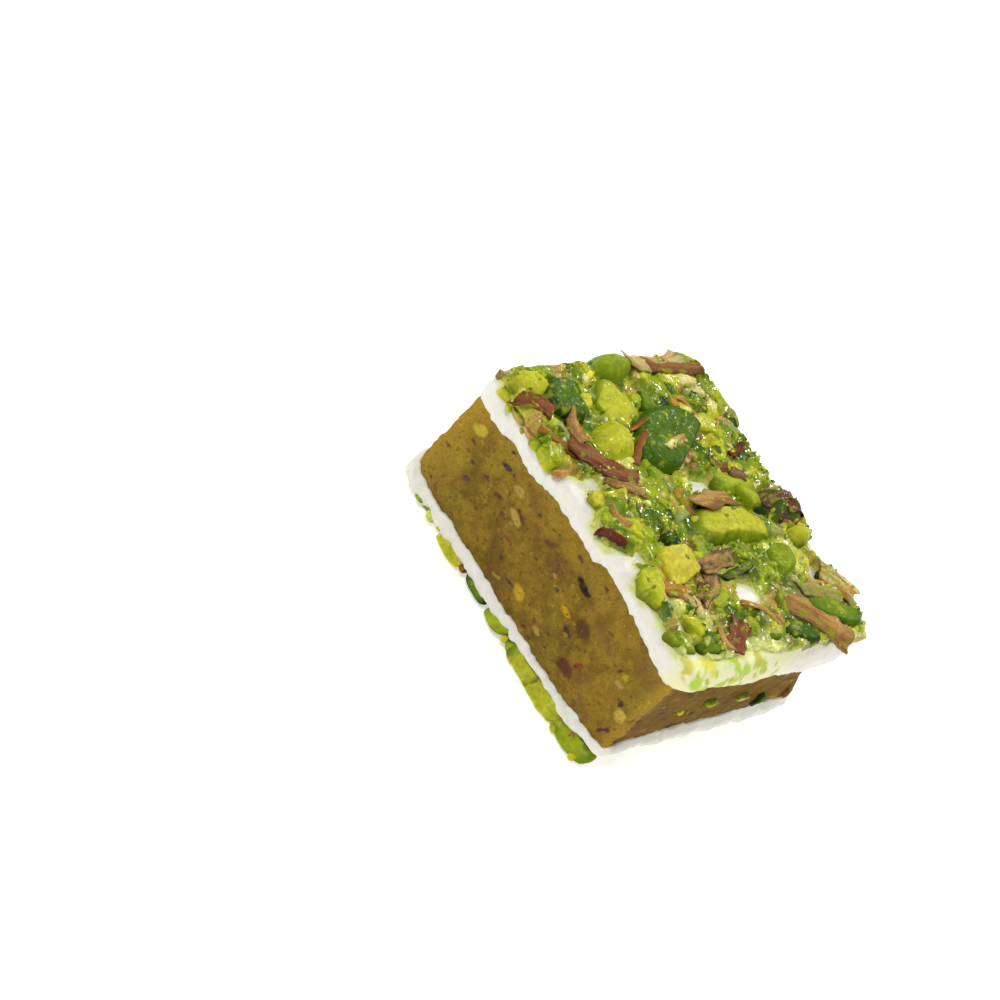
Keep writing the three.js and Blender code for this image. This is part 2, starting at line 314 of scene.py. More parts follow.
block = {
    "length": 40.0, "width": 36.0, "corner": 0.7, "spacing": 0.16, "rows": 88,
    # heights in mm where nougat and paste meet: along x on the front and back, along y on the right and left
    "upperSeam": {
        "front": [(-20, 15.5), (-15, 15.3), (-12.3, 15.9), (-9, 15.5), (-5, 16.5), (0, 16.7),
                  (3.6, 16.5), (5, 17.6), (9, 17.2), (15, 16.4), (18.3, 15.8), (20, 15.9)],
        "right": [(-18, 16.0), (-15, 15.9), (-11, 15.3), (-6, 14.6), (-2, 13.9), (2, 13.2), (6, 12.8),
                  (10, 12.4), (14, 12.0), (17, 12.2), (18, 12.8)],
        "back": [(-20, 15.6), (-15, 16.2), (-9, 15.2), (-3, 15.8), (3, 14.9), (8, 15.3), (12, 14.6),
                 (15, 14.0), (17, 13.2), (18.5, 12.9), (20, 12.8)],
    },
    "lowerSeam": {
        "front": [(-20, 5.2), (-19.6, 3.8), (-18.3, 2.8), (-15, 2.5), (-10, 2.9), (5, 2.9), (10, 3.0),
                  (15, 3.5), (18.3, 4.0), (20, 4.3)],
        "right": [(-18, 4.4), (-12, 4.8), (-6, 5.0), (3, 5.0), (8, 5.4), (14, 5.6), (18, 5.4)],
        "left": [(-18, 5.7), (-16, 4.6), (-12, 3.2), (18, 3.0)],
        "back": [(-20, 3.0), (-13, 3.3), (-6, 2.8), (2, 3.2), (9, 3.0), (14, 3.7), (17.5, 4.7),
                 (20, 5.3)],
    },
    "lowerRim": {
        "front": [(-20.5, 1.8), (-20, 0.9), (-18.3, 0.4), (-15.3, 0.3), (-14.9, 0.9), (-14, 0.9),
                  (-11.7, 0.3), (-8.3, 0.9), (-5, 0.6), (0, 0.9), (5, 1.4), (8.3, 1.9), (15, 1.5),
                  (19, 2.5), (20.5, 2.8)],
        "right": [(-18, 2.8), (-14, 3.0), (-9, 2.8), (-3, 2.1), (7, 2.1), (12, 2.4), (18, 2.9)],
        "back": [(-20, 0.9), (-10, 0.7), (0, 1.0), (9, 0.9), (14, 1.4), (18, 2.3), (20, 2.8)],
    },
    # on the other sides: mean height, unevenness and seed
    "elsewhere": {"paste": (16.6, 0.2, 3.0), "upperSeam": (15.2, 1.5, 3.0), "lowerSeam": (3.0, 0.4, 5.0),
                  "lowerRim": (0.9, 0.3, 8.0)},
    "wornLow": 5.5, "wornHigh": 11.0, "wornReach": 4.3,
}
sides = {"front": (0, -1), "right": (1, 0), "back": (0, 1), "left": (-1, 0)}


def blockOutline(spacing, corner):
    # points round the block, their outward normals and the way along from the front left corner
    points, normals = [], []
    for side in range(4):
        heading = math.radians(90 * side - 90)
        normal = np.array([math.cos(heading), math.sin(heading)])
        along = np.array([-normal[1], normal[0]])
        half, reach = (block["length"] / 2, block["width"] / 2)[::1 if side % 2 == 0 else -1]
        steps = int(2 * (half - corner) / spacing)
        for way in np.linspace(corner - half, half - corner, steps, endpoint=False):
            points.append(normal * reach + along * way)
            normals.append(normal)
        middle = normal * (reach - corner) + along * (half - corner)
        turns = max(4, int(corner * math.pi / 2 / spacing))
        for part in np.linspace(0, math.pi / 2, turns, endpoint=False):
            out = normal * math.cos(part) + along * math.sin(part)
            points.append(middle + out * corner)
            normals.append(out)
    points, normals = np.array(points), np.array(normals)
    along = np.concatenate([[0], np.cumsum(np.linalg.norm(np.diff(points, axis=0), axis=1))])
    return points, normals, along


def sideShares(normals):
    # how far each point belongs to each side: round a corner two sides share it
    shares = {name: smoothStep(0.4, 0.95, normals @ np.array(way)) for name, way in sides.items()}
    total = sum(shares.values())
    return {name: share / total for name, share in shares.items()}


def seamHeight(points, normals, rows, elsewhere):
    mean, unevenness, seed = elsewhere
    place = flatPoints(*points.T)
    hidden = mean + unevenness * lumps(place, (0.7, 6.0, seed), (0.3, 1.8, seed + 1))
    height = lumps(place, (0.18, 0.9, seed + 2), (0.14, 0.45, seed + 3))
    for name, share in sideShares(normals).items():
        way = points[:, 0] if name in ("front", "back") else points[:, 1]
        height = height + share * (onLine(rows[name], way) if name in rows else hidden)
    return height


def seamOf(name, points, normals):
    return seamHeight(points, normals, block[name], block["elsewhere"][name])


def loft(rings):
    # closed mesh through rings of equal length, with a point at each end
    count = len(rings[0])
    points = np.concatenate([[rings[0].mean(axis=0)], *rings, [rings[-1].mean(axis=0)]])
    faces, last = [], len(points) - 1
    step = np.arange(count)
    after = np.roll(step, -1)
    for level in range(len(rings) - 1):
        low, high = 1 + level * count, 1 + (level + 1) * count
        faces += np.column_stack([low + step, low + after, high + after, high + step]).tolist()
    faces += np.column_stack([np.zeros(count, int), 1 + after, 1 + step]).tolist()
    top = 1 + (len(rings) - 1) * count
    faces += np.column_stack([np.full(count, last), top + step, top + after]).tolist()
    return points, faces


specks = {
    # bits in the cut front: x and z in mm, length, width, turn in degrees, colour
    "front": [
        (5.0, 13.6, 3.0, 0.95, -11, "#0f0d10"), (3.1, 10.4, 0.8, 0.4, 0, "#4a443c"),
        (5.5, 9.8, 1.8, 0.8, 4, "#b98a1e"), (6.2, 10.3, 0.9, 0.35, -5, "#6a2c18"),
        (7.5, 8.6, 1.8, 0.5, -10, "#463234"), (8.6, 10.9, 1.1, 0.5, -7, "#6a2c20"),
        (8.5, 10.5, 2.6, 1.9, 0, "#573c22"), (0.3, 5.7, 2.0, 1.3, -20, "#b8942f"),
        (-1.3, 5.4, 1.5, 0.35, 12, "#4c3634"), (0.0, 4.1, 0.5, 0.4, 0, "#40221c"),
        (3.7, 5.7, 1.1, 0.25, -29, "#5a3020"), (3.5, 3.9, 0.8, 0.4, 20, "#552c26"),
        (5.9, 6.3, 0.9, 0.4, -14, "#7a3c30"), (10.2, 5.4, 2.7, 0.6, -2, "#6a3a34"),
        (10.1, 5.7, 2.9, 1.7, 0, "#5b3828"), (11.1, 7.3, 1.4, 0.7, 65, "#7a3a28"),
        (17.0, 9.7, 0.8, 0.5, 25, "#47303a"), (17.7, 9.5, 1.0, 0.5, 45, "#43282e"),
        (18.5, 8.6, 1.7, 1.5, 45, "#b99a45"), (18.5, 5.8, 1.4, 0.45, 62, "#4a2c36"),
        (14.9, 11.9, 0.8, 0.25, 60, "#6a3020"), (15.7, 10.7, 1.3, 0.6, 20, "#a8854a"),
        (15.7, 12.0, 1.0, 0.8, 15, "#a4952f"), (4.9, 5.1, 1.4, 0.7, 5, "#a98c44"),
        (-16.7, 13.1, 2.2, 1.4, 20, "#b3a035"), (-16.2, 11.5, 1.1, 0.45, -10, "#3f2c2a"),
        (-12.1, 15.2, 0.6, 0.4, 10, "#4a3030"), (-11.3, 13.5, 1.4, 0.65, 16, "#3a3036"),
        (-10.1, 13.6, 0.5, 0.4, 16, "#3c2c30"), (-14.6, 9.9, 0.8, 0.5, 0, "#463a34"),
        (-12.2, 10.4, 1.0, 0.5, 0, "#553a38"), (-13.9, 8.0, 1.1, 0.6, 30, "#5c3a40"),
        (-17.4, 3.9, 0.8, 0.3, -8, "#40221a"), (-9.8, 10.3, 0.9, 0.4, 12, "#5b2c2c"),
        (-6.3, 11.4, 2.9, 0.45, -5, "#5a2a24"), (-6.5, 10.8, 2.6, 1.0, -12, "#a88f45"),
        (-8.4, 13.1, 2.1, 1.1, 4, "#a08a45"), (-5.2, 8.3, 1.0, 0.4, 17, "#7c4030"),
        (-1.4, 12.8, 1.4, 0.7, 30, "#633c34"), (-1.2, 10.3, 0.6, 0.4, 20, "#51362e"),
        (-4.7, 13.7, 1.1, 0.4, 3, "#4f4234"), (-15.8, 8.5, 1.3, 0.9, 14, "#98802c"),
        (-2.8, 4.4, 1.2, 0.6, 20, "#94802f"), (-7.8, 9.4, 0.6, 0.4, 15, "#59402e"),
        (2.4, 15.2, 0.9, 0.4, 0, "#5b343a"),
    ],
    # and in the right side: y and z
    "right": [
        (-12.9, 9.8, 1.6, 0.45, -10, "#4a2c30"), (-16.5, 9.2, 1.4, 0.5, -10, "#3c2430"),
        (-1.2, 9.7, 1.8, 0.4, -8, "#4a3038"), (-1.5, 7.3, 1.0, 0.35, -10, "#4a3034"),
        (7.6, 5.9, 1.0, 0.35, 0, "#54303c"), (-7.6, 5.8, 0.8, 0.35, 0, "#4a2c2c"),
        (11.4, 10.2, 1.6, 0.4, 0, "#453040"), (-16.6, 5.3, 0.9, 0.3, -10, "#4a2c24"),
        (-13.2, 6.5, 2.0, 0.6, -5, "#9a6a40"), (-7.2, 10.4, 0.8, 0.3, 0, "#54382c"),
        (2.3, 7.5, 0.9, 0.3, 0, "#4a3034"), (13.2, 6.4, 1.6, 0.7, 0, "#a8742c"),
    ],
    "count": 520, "seed": 7, "halo": "#54401f",
    "colours": ["#3c2417", "#4a2a20", "#5a3026", "#b59a3c", "#2f2622", "#a5883a", "#6c3f2a", "#8f8a34",
                "#38241c"],
}


def wornCorner(points, height):
    # the far right corner is worn back, more so towards the nougat that hangs over it
    corner = np.array([block["length"], block["width"]]) / 2
    reach = block["corner"] + block["wornReach"] * smoothStep(block["wornLow"], block["wornHigh"], height)
    core = np.minimum(points, corner - reach[:, None])
    out = points - core
    away = np.linalg.norm(out, axis=1)
    return core + out * np.where(away > reach, reach / np.maximum(away, 1e-9), 1.0)[:, None]


# the paste goes a little way in under the nougat, and its ends close in steps; lengths in mm
filling = {"tuck": 0.25, "capInsets": (0.4, 0.8, 0.95, 0.985), "capDip": 0.02, "edgeRound": 0.15}


def buildFilling():
    points, normals, along = blockOutline(block["spacing"], block["corner"])
    shown = {"front": block["upperSeam"]["front"]}
    top = seamHeight(points, normals, shown, block["elsewhere"]["paste"]) + filling["tuck"]
    low = seamOf("lowerSeam", points, normals) - filling["tuck"]
    rings = [np.column_stack([points * inset, low + filling["capDip"]]) for inset in filling["capInsets"]]
    drag = np.where(np.abs(normals[:, 0]) > 0.7, 0.6, 1.0)  # the knife drew the short sides out along y
    for part in np.linspace(0, 1, block["rows"]):
        height = low + (top - low) * part
        place = np.column_stack([points[:, 0], points[:, 1] * drag, height])
        fine = lumps(place, (0.07, 1.6, 12), (0.04, 0.55, 13))
        swell = 0.12 * lumpNoise(place, 5.0, 11) + fine * np.where(drag < 1, 2.4, 1.0)
        rounding = filling["edgeRound"] * abs(2 * part - 1) ** 8
        flat = wornCorner(points, height) + normals * (swell - rounding)[:, None]
        rings.append(np.column_stack([flat, height]))
    cap = wornCorner(points, top)
    rings += [np.column_stack([cap * inset, top - filling["capDip"]]) for inset in filling["capInsets"][::-1]]
    shape, faces = loft(rings)
    way = np.concatenate([[0], np.tile(along, len(rings)), [0]])
    return addPiece("paste_block", shape, faces, pasteLook, pasteTint(shape, way, along[-1]))


def speckRows(x, y, way, around):
    # which points a bit may lie on, their way along, how strongly it shows, then its row
    rng = np.random.default_rng(specks["seed"])
    rows = [(y < -17.2, x, 0.92, *row) for row in specks["front"]]
    rows += [((x > 14) & (y > -17.8), y, 0.8, *row) for row in specks["right"]]
    everywhere = np.ones(len(x), bool)
    for _ in range(specks["count"]):
        size = rng.uniform(0.3, 1.0) ** 2 * 1.4 + 0.25
        place = rng.uniform(0, around)
        colour = specks["colours"][rng.integers(len(specks["colours"]))]
        size = min(0.7 * size, 0.45) if place < block["length"] else 0.75 * size
        rows.append((everywhere, way, rng.uniform(0.3, 0.7), place, rng.uniform(3, 16.5), size,
                     size * rng.uniform(0.35, 0.7), rng.uniform(-30, 40), colour))
    return rows


def pasteTint(shape, way, around):
    x, y, z = shape.T
    golden, umber, ochre, dull, olive, plum = (toLinear(code) for code in (
        "#a0812c", "#67521e", "#886c25", "#704f0c", "#837225", "#67482e"))
    cloud = 0.5 + lumps(shape, (0.35, 6.0, 21), (0.35, 1.7, 22), (0.35, 0.7, 27))
    tint = blendTo(np.tile(umber, (len(shape), 1)), ochre, smoothStep(0.0, 0.9, cloud))
    tint = blendTo(tint, olive, 0.6 * smoothStep(-0.1, 0.6, lumpNoise(shape, 3.5, 28)))
    tint = blendTo(tint, plum, 0.5 * smoothStep(0.0, 0.7, lumpNoise(shape, 2.6, 29)))
    tint *= (1 + 0.14 * lumpNoise(shape, 0.45, 30))[:, None]
    # painted light: golden where light would shine through the thin ends and along the cut edges
    ends = smoothStep(-13.0, -20.0, x) * 0.8 + smoothStep(18.2, 19.8, x) * 0.7 * (y < -17)
    tint = blendTo(tint, golden, np.clip(ends + 0.25 * smoothStep(12.5, 15.5, z), 0, 1))
    # the short sides are torn rather than cut
    torn = smoothStep(-17.6, -15.5, y) * smoothStep(16.5, 19.5, np.abs(x))
    drawn = lumps(shape * (1, 0.6, 1), (1.0, 0.8, 25), (0.6, 0.4, 26))
    tint = blendTo(tint, dull * 0.8, 0.75 * torn)
    tint *= (1 + 0.15 * torn * drawn)[:, None]
    wobble = lumps(shape, (0.3, 0.7, 23), (0.25, 0.35, 24))
    for side, across, share, place, height, length, width, turn, colour in speckRows(x, y, way, around):
        angle = math.radians(turn)
        near = side & (abs(across - place) < 1.4 * length) & (abs(z - height) < 1.4 * length)
        dx, dz = across[near] - place, z[near] - height
        u = (dx * math.cos(angle) + dz * math.sin(angle)) / (length / 2)
        v = (dz * math.cos(angle) - dx * math.sin(angle)) / (width / 2)
        away = np.hypot(u, v) + wobble[near] / width
        halo = 0.18 * share * smoothStep(2.0, 0.9, away)
        tint[near] = blendTo(tint[near], toLinear(specks["halo"]), halo)
        tint[near] = blendTo(tint[near], toLinear(colour), share * smoothStep(1.25, 0.7, away))
    return tint


coat = {
    # the nut line on the upper face: nuts reach to here at the front, as (x, y) in mm
    "frontLine": [(-21, -19.0), (-18.3, -19.2), (-16.3, -19.4), (-14, -19.3), (-11, -18.9),
                  (-8.6, -18.7), (-7.2, -17.8), (-5.9, -15.8), (-3.6, -14.9), (-1.5, -15.8),
                  (-0.5, -17.0), (0.5, -18.8), (3.4, -18.8), (4.7, -16.2), (7, -15.2), (8, -17.5),
                  (11, -17.5), (12, -16.6), (14.3, -17.2), (17.4, -17.4), (18.6, -16.5), (22, -16)],
    # and at the right, as (y, x)
    "rightLine": [(-18, 17.5), (-16, 19.0), (-11.3, 19.9), (-6.4, 19.0), (-1.5, 20.3), (3.6, 20.6),
                  (14, 20.6), (18.3, 20.0)],
    # x, y and half sizes of places where the nougat shows
    "bareSpots": [(-1.6, 4.2, 1.5, 2.4), (12.5, 0.2, 1.9, 2.5), (9.2, 18.0, 1.7, 1.5),
                  (-4.5, -13.8, 1.1, 0.9), (-15.5, 4.2, 1.0, 1.0), (8.6, 14.2, 2.2, 1.2),
                  (11.5, 14.6, 1.5, 1.3), (14.5, -15.0, 1.3, 1.0), (18.0, -15.0, 0.9, 1.2),
                  (5.6, -14.2, 1.3, 0.9)],
    # patches of one colour: x, y, reach in mm, colour
    "patches": [
        (-19.0, -16.8, 3.0, "lime"), (-19.6, -12.4, 2.0, "bright"), (-19.2, -8.9, 1.6, "tan"),
        (-19.3, -4.5, 2.2, "lime"), (-13.1, -18.6, 1.6, "tan"), (-8.3, -17.8, 2.2, "bright"),
        (-6.4, -7.9, 1.6, "mint"), (-3.9, -5.2, 2.4, "green"), (-4.4, -1.0, 1.4, "lime"),
        (-4.5, -11.0, 1.6, "pale"), (-3.3, -9.3, 1.8, "brown"), (3.2, -11.5, 2.2, "bright"),
        (3.1, -17.0, 2.0, "deep"), (10.3, -12.1, 1.8, "tan"), (10.8, -6.8, 2.2, "brown"),
        (14.6, -15.6, 1.6, "tan"), (14.3, 2.7, 1.8, "tan"), (17.6, 4.1, 2.4, "deep"),
        (15.4, -5.8, 2.2, "deep"), (16.8, -3.7, 1.8, "deep"), (12.9, 7.2, 2.0, "deep"),
        (10.5, 15.4, 1.8, "tan"), (7.7, 15.6, 2.0, "green"), (6.4, -12.8, 2.4, "bright"),
        (2.4, -10.2, 2.0, "deep"), (5.7, -3.0, 2.2, "grey"), (9.8, 2.1, 2.0, "shade"),
        (18.8, -11.5, 1.6, "deep"), (19.8, -14.6, 1.5, "film"), (20.1, -8.6, 1.6, "lime"),
        (20.3, -5.6, 1.5, "film"), (20.1, -2.4, 1.4, "lime"), (19.6, 5.4, 2.4, "shade"),
        (18.7, 1.6, 1.7, "deep"), (12.0, -14.2, 1.8, "film"), (14.6, -9.6, 1.8, "film"),
        (8.5, -13.0, 1.8, "tan"), (11.8, -3.8, 1.6, "tan"), (16.0, -9.0, 1.6, "brown"),
        (12.5, -8.8, 1.5, "orange"), (16.5, 0.8, 1.5, "tan"), (14.8, 5.6, 1.6, "film"),
        (9.6, 13.0, 1.8, "film"), (12.6, 13.2, 1.6, "tan"), (16.2, 15.8, 1.6, "tan"),
        (6.5, -6.8, 1.6, "brown"), (8.8, 5.2, 1.6, "deep"), (4.5, 9.4, 1.5, "deep"),
        (-0.6, -16.2, 1.8, "bright"), (-3.0, -15.6, 1.6, "lime"), (-10.5, 9.5, 1.8, "film"),
        (-11.8, 13.0, 1.6, "deep"),
    ],
}


def coverAt(x, y):
    # 1 where nuts cover the upper nougat, 0 where it is bare
    ragged = lumps(flatPoints(x, y), (0.5, 1.3, 31), (0.35, 0.5, 32))
    cover = smoothStep(-0.4, 0.5, y - onLine(coat["frontLine"], x) + ragged)
    cover *= smoothStep(0.5, -0.5, x - onLine(coat["rightLine"], y) + ragged)
    for bareX, bareY, halfX, halfY in coat["bareSpots"]:
        away = np.hypot((x - bareX) / halfX, (y - bareY) / halfY)
        cover *= smoothStep(0.7, 1.4, away + 0.4 * ragged)
    return cover


layer = {
    "spacing": 0.2, "sideRows": 24,
    # by whether it is the upper one
    "corner": {True: 1.5, False: 0.8}, "innerRows": {True: 44, False: 22},
    "innerFrom": {True: 0.965, False: 0.96},
}


def nougatLayer(name, upper):
    points, normals, _ = blockOutline(layer["spacing"], layer["corner"][upper])
    shares = sideShares(normals)
    front, right = shares["front"], shares["right"]
    x, y = points.T
    if upper:
        seam = seamOf("upperSeam", points, normals)
        rim = faceAt(True, x, y) - 0.1
        lip = smoothStep(-18.2, -15.5, y) * smoothStep(6, -4, y)
        bulge = 0.35 + 0.15 * (1 - front) + right * (0.2 + 0.6 * lip)
    else:
        seam = seamOf("lowerSeam", points, normals)
        rim = seamOf("lowerRim", points, normals) + 0.1
        bulge = 0.32 + 0.2 * (1 - front) + 0.1 * right
    bulge = bulge + lumps(flatPoints(x, y), (0.18, 3.2, 41), (0.10, 1.1, 42))
    level = 0.5 * seam + 0.5 * np.mean(seam)
    rings = [np.column_stack([points * scale, level]) for scale in (0.3, 0.7, 0.93)]
    rings.append(np.column_stack([points - 0.3 * normals, seam]))
    for part in np.linspace(0, 1, layer["sideRows"]):
        swell = float(smoothStep(-0.1, 0.4, part) * (1 - 0.2 * smoothStep(0.6, 1.0, part)))
        height = seam + (rim - seam) * part
        uneven = lumps(np.column_stack([x, y, height]), (0.14, 1.6, 43), (0.12, 0.7, 44), (0.05, 0.35, 47))
        out = 0.06 + bulge * swell - 0.6 * float(smoothStep(0.55, 1.0, part)) ** 2 + uneven
        rings.append(np.column_stack([points + normals * out[:, None], height]))
    edge = rings[-1][:, :2]
    for scale in np.linspace(layer["innerFrom"][upper], 0.02, layer["innerRows"][upper]):
        ring = edge * scale
        fine = lumps(flatPoints(*ring.T), (0.10, 1.5, 45), (0.06, 0.6, 46))
        height = faceAt(upper, *ring.T) + fine
        share = smoothStep(1.0, 0.9, scale)
        rings.append(np.column_stack([ring, rings[-1][:, 2] * (1 - share) + height * share]))
    shape, faces = loft(rings)
    if not upper:
        faces = [face[::-1] for face in faces]
    return addPiece(name, shape, faces, nougatLook, nougatTint(shape, upper))


# slivers of nut that show in the lip over the right side: x, y, z, half length along z, half width, colour
lipFlecks = [
    (20.6, -18.2, 18.0, 0.6, 0.7, "yellow"), (20.9, -16.6, 18.2, 0.7, 0.9, "fresh"),
    (21.2, -11.4, 16.9, 0.9, 0.7, "fresh"), (21.2, -9.2, 17.5, 0.9, 0.7, "fresh"),
    (21.2, -3.4, 18.0, 0.8, 0.7, "fresh"), (19.0, -17.0, 18.9, 0.9, 1.0, "yellow"),
    (21.2, -12.6, 15.7, 0.4, 1.0, "fresh"), (20.9, -7.0, 18.4, 0.6, 0.8, "fresh"),
    (21.1, -14.2, 17.0, 0.6, 0.6, "fresh"), (17.8, -18.4, 18.8, 0.3, 0.3, "maroon"),
    (20.9, -0.4, 17.9, 0.5, 0.6, "fresh"), (19.8, -14.0, 18.9, 0.7, 0.9, "gold"),
    (20.0, -9.4, 18.9, 0.6, 0.9, "fresh"), (20.4, -4.6, 18.8, 0.6, 0.8, "yellow"),
]
# and between them many small ones
fleckRule = {"count": 70, "seed": 9, "x": 21.4, "y": (-18.4, 9.0), "z": (15.6, 19.0), "size": (0.16, 0.42),
             "colours": ["fresh", "mint", "yellow", "fresh", "gold", "lime"]}


def fleckRows():
    # the small ones lie denser towards the top, where the lip leans in
    rng = np.random.default_rng(fleckRule["seed"])
    rows = list(lipFlecks)
    low, high = fleckRule["z"]
    for _ in range(fleckRule["count"]):
        height = high - (high - low) * rng.random() ** 1.6
        tall, wide = rng.uniform(*fleckRule["size"], 2)
        x = fleckRule["x"] - 0.3 * rng.random() - 1.4 * smoothStep(18.2, high, height)
        y = rng.uniform(*fleckRule["y"])
        colour = fleckRule["colours"][rng.integers(len(fleckRule["colours"]))]
        rows.append((x, y, height, 1.5 * tall, wide, colour))
    return rows


def nougatTint(shape, upper):
    x, y, z = shape.T
    tint = np.tile(tone["cream"], (len(shape), 1))
    stainNoise = 0.5 + lumps(shape, (0.5, 1.6, 51), (0.3, 0.6, 52))
    if not upper:
        curled = smoothStep(-17.5, -20.0, x) * smoothStep(5.0, 3.0, z)
        stain = np.maximum(smoothStep(1.5, 0.6, z), 0.7 * curled)
        return blendTo(tint, tone["mint"], 0.8 * stain * smoothStep(0.3, 0.9, stainNoise))
    steps = ((0, 0), (-0.4, 0), (0, 0.3), (0, 0.6))
    near = np.maximum.reduce([coverAt(x + dx, y + dy) for dx, dy in steps])
    lip = smoothStep(17.0, 19.5, x) * smoothStep(10, -2, y) * smoothStep(-0.3, 0.5, stainNoise)
    stain = smoothStep(0.0, 0.6, near) * smoothStep(-0.3, 0.7, stainNoise) * smoothStep(17.8, 18.8, z)
    tint = blendTo(blendTo(tint, tone["mint"], 0.85 * stain), tone["film"], 0.55 * lip)
    fleckNoise = lumps(shape, (0.45, 1.1, 53), (0.35, 0.45, 54))
    for fleckX, fleckY, fleckZ, tall, wide, colour in fleckRows():
        flat = np.hypot((x - fleckX) / 1.2, y - fleckY) / wide
        away = np.hypot(flat, (z - fleckZ) / tall) + fleckNoise
        tint = blendTo(tint, tone[colour], 0.9 * smoothStep(1.2, 0.75, away))
    return tint


# the coat of ground nut: chips of four sizes pressed into the nougat, fused where they touch

chips = {
    # size in mm, share of places filled, least and most height in mm
    "sizes": [(3.4, 0.55, 0.8, 1.5), (1.9, 0.65, 0.6, 1.6), (1.0, 0.5, 0.5, 1.5), (0.55, 0.35, 0.5, 1.45)],
    "span": 64,  # mm, side of the square of cells that they are drawn in
    "corners": 5,
    "fuse": 11.0,  # the higher, the sharper the lines where chips meet
    "colours": {"bright": 0.14, "green": 0.15, "leaf": 0.16, "lime": 0.10, "deep": 0.15, "yellow": 0.04,
                "shade": 0.08, "tan": 0.06, "grey": 0.03, "brown": 0.03, "mint": 0.02, "pale": 0.04},
}


def chipHeap(x, y, seed):
    # height of the heap above the nougat, and its colour
    sharp, corners = chips["fuse"], chips["corners"]
    place = flatPoints(x, y)
    film = 0.75 + lumps(place, (0.35, 2.4, seed), (0.15, 0.8, seed))
    filmTint = np.tile(tone["lime"], (len(x), 1))
    filmTint = blendTo(filmTint, tone["leaf"], smoothStep(-0.4, 0.6, lumpNoise(place, 1.7, seed + 1)))
    filmTint = blendTo(filmTint, tone["mint"], 0.85 * smoothStep(0.0, 0.5, lumpNoise(place, 2.9, seed + 2)))
    total = np.exp(sharp * film)
    tint = filmTint * total[:, None]
    colours = np.array([tone[name] for name in chips["colours"]])
    limits = np.cumsum(list(chips["colours"].values()))
    fromX, fromY = x + chips["span"] / 2, y + chips["span"] / 2
    for level, (size, filled, least, most) in enumerate(chips["sizes"]):
        rng = np.random.default_rng(seed + level)
        cells = int(chips["span"] / size)
        draws = rng.random((cells, cells, 6))
        ways = (np.arange(corners) + rng.random((cells, cells, corners)) * 0.8) * 2 * math.pi / corners
        ways = ways + draws[..., :1] * 6
        cosWays, sinWays = np.cos(ways), np.sin(ways)
        reach = size * (0.3 + 0.3 * rng.random((cells, cells, corners)))
        pick = np.minimum(np.searchsorted(limits, draws[..., 5]), len(colours) - 1)
        cellX, cellY = np.floor(fromX / size).astype(int), np.floor(fromY / size).astype(int)
        for stepX, stepY in np.ndindex(3, 3):
            i, j = cellX + stepX - 1, cellY + stepY - 1
            draw = draws[i, j]
            dx = fromX - (i + 0.15 + 0.7 * draw[:, 1]) * size
            dy = fromY - (j + 0.15 + 0.7 * draw[:, 2]) * size
            away = np.zeros(len(x))
            for side in range(corners):
                out = dx * cosWays[i, j, side] + dy * sinWays[i, j, side]
                away = np.maximum(away, out / reach[i, j, side])
            tilt = 0.35 * (dx * (draw[:, 1] - 0.5) + dy * (draw[:, 2] - 0.5))
            height = (least + (most - least) * draw[:, 3] + tilt) * smoothStep(1.08, 0.86, away)
            weight = np.exp(sharp * height) * (away < 1.08) * (draw[:, 4] < filled)
            total += weight
            tint += colours[pick[i, j]] * weight[:, None]
    return np.log(total) / sharp, tint / total[:, None]


# half sizes, middle, spacing and the height of the hidden side's middle, all in mm
coatForm = {
    True: {"half": (20.95, 18.8), "middle": (0.15, 0.05), "spacing": 0.14, "heart": 17.0, "seed": 100},
    False: {"half": (19.5, 17.7), "middle": (-0.4, 0.0), "spacing": 0.24, "heart": 2.6, "seed": 200},
}


def coatGrid(form, corner=3.0):
    # a grid of places with rounded corners, and how far out each lies: 1 is at the rim
    half = np.array(form["half"])
    countX, countY = (2 * half / form["spacing"]).astype(int)
    u, v = np.meshgrid(np.linspace(-1, 1, countX), np.linspace(-1, 1, countY), indexing="ij")
    u, v = u.ravel(), v.ravel()
    ring = np.maximum(np.maximum(np.abs(u), np.abs(v)), 1e-9)
    rim = np.column_stack([u / ring * half[0], v / ring * half[1]])
    core = np.clip(rim, corner - half, half - corner)
    out = np.linalg.norm(rim - core, axis=1)
    pull = np.where(out > corner, corner / np.maximum(out, 1e-9), 1.0)
    return (core + (rim - core) * pull[:, None]) * ring[:, None], ring, (countX, countY)


def flowOver(z, counts, spacing, up):
    # the way up from syrup that has found its own level over the chips
    soft = z.reshape(counts)
    for _ in range(4):
        soft = sum(np.roll(soft, step, axis) for axis in (0, 1) for step in (-2, -1, 0, 1, 2)) / 10
    slope = np.stack(np.gradient(soft, spacing), axis=-1).reshape(-1, 2)
    flow = np.column_stack([-slope, np.ones(len(z))]) * up
    return flow / np.linalg.norm(flow, axis=1)[:, None]


def thinnedAt(x, y):
    # towards the right edge the coat thins out to a film with single chips in it
    thinned = smoothStep(-3.4, -0.6, x - onLine(coat["rightLine"], y)) * smoothStep(9, 0, y)
    return thinned * smoothStep(-0.3, 0.3, lumps(flatPoints(x, y), (1.0, 1.5, 68), (0.4, 0.6, 69)))


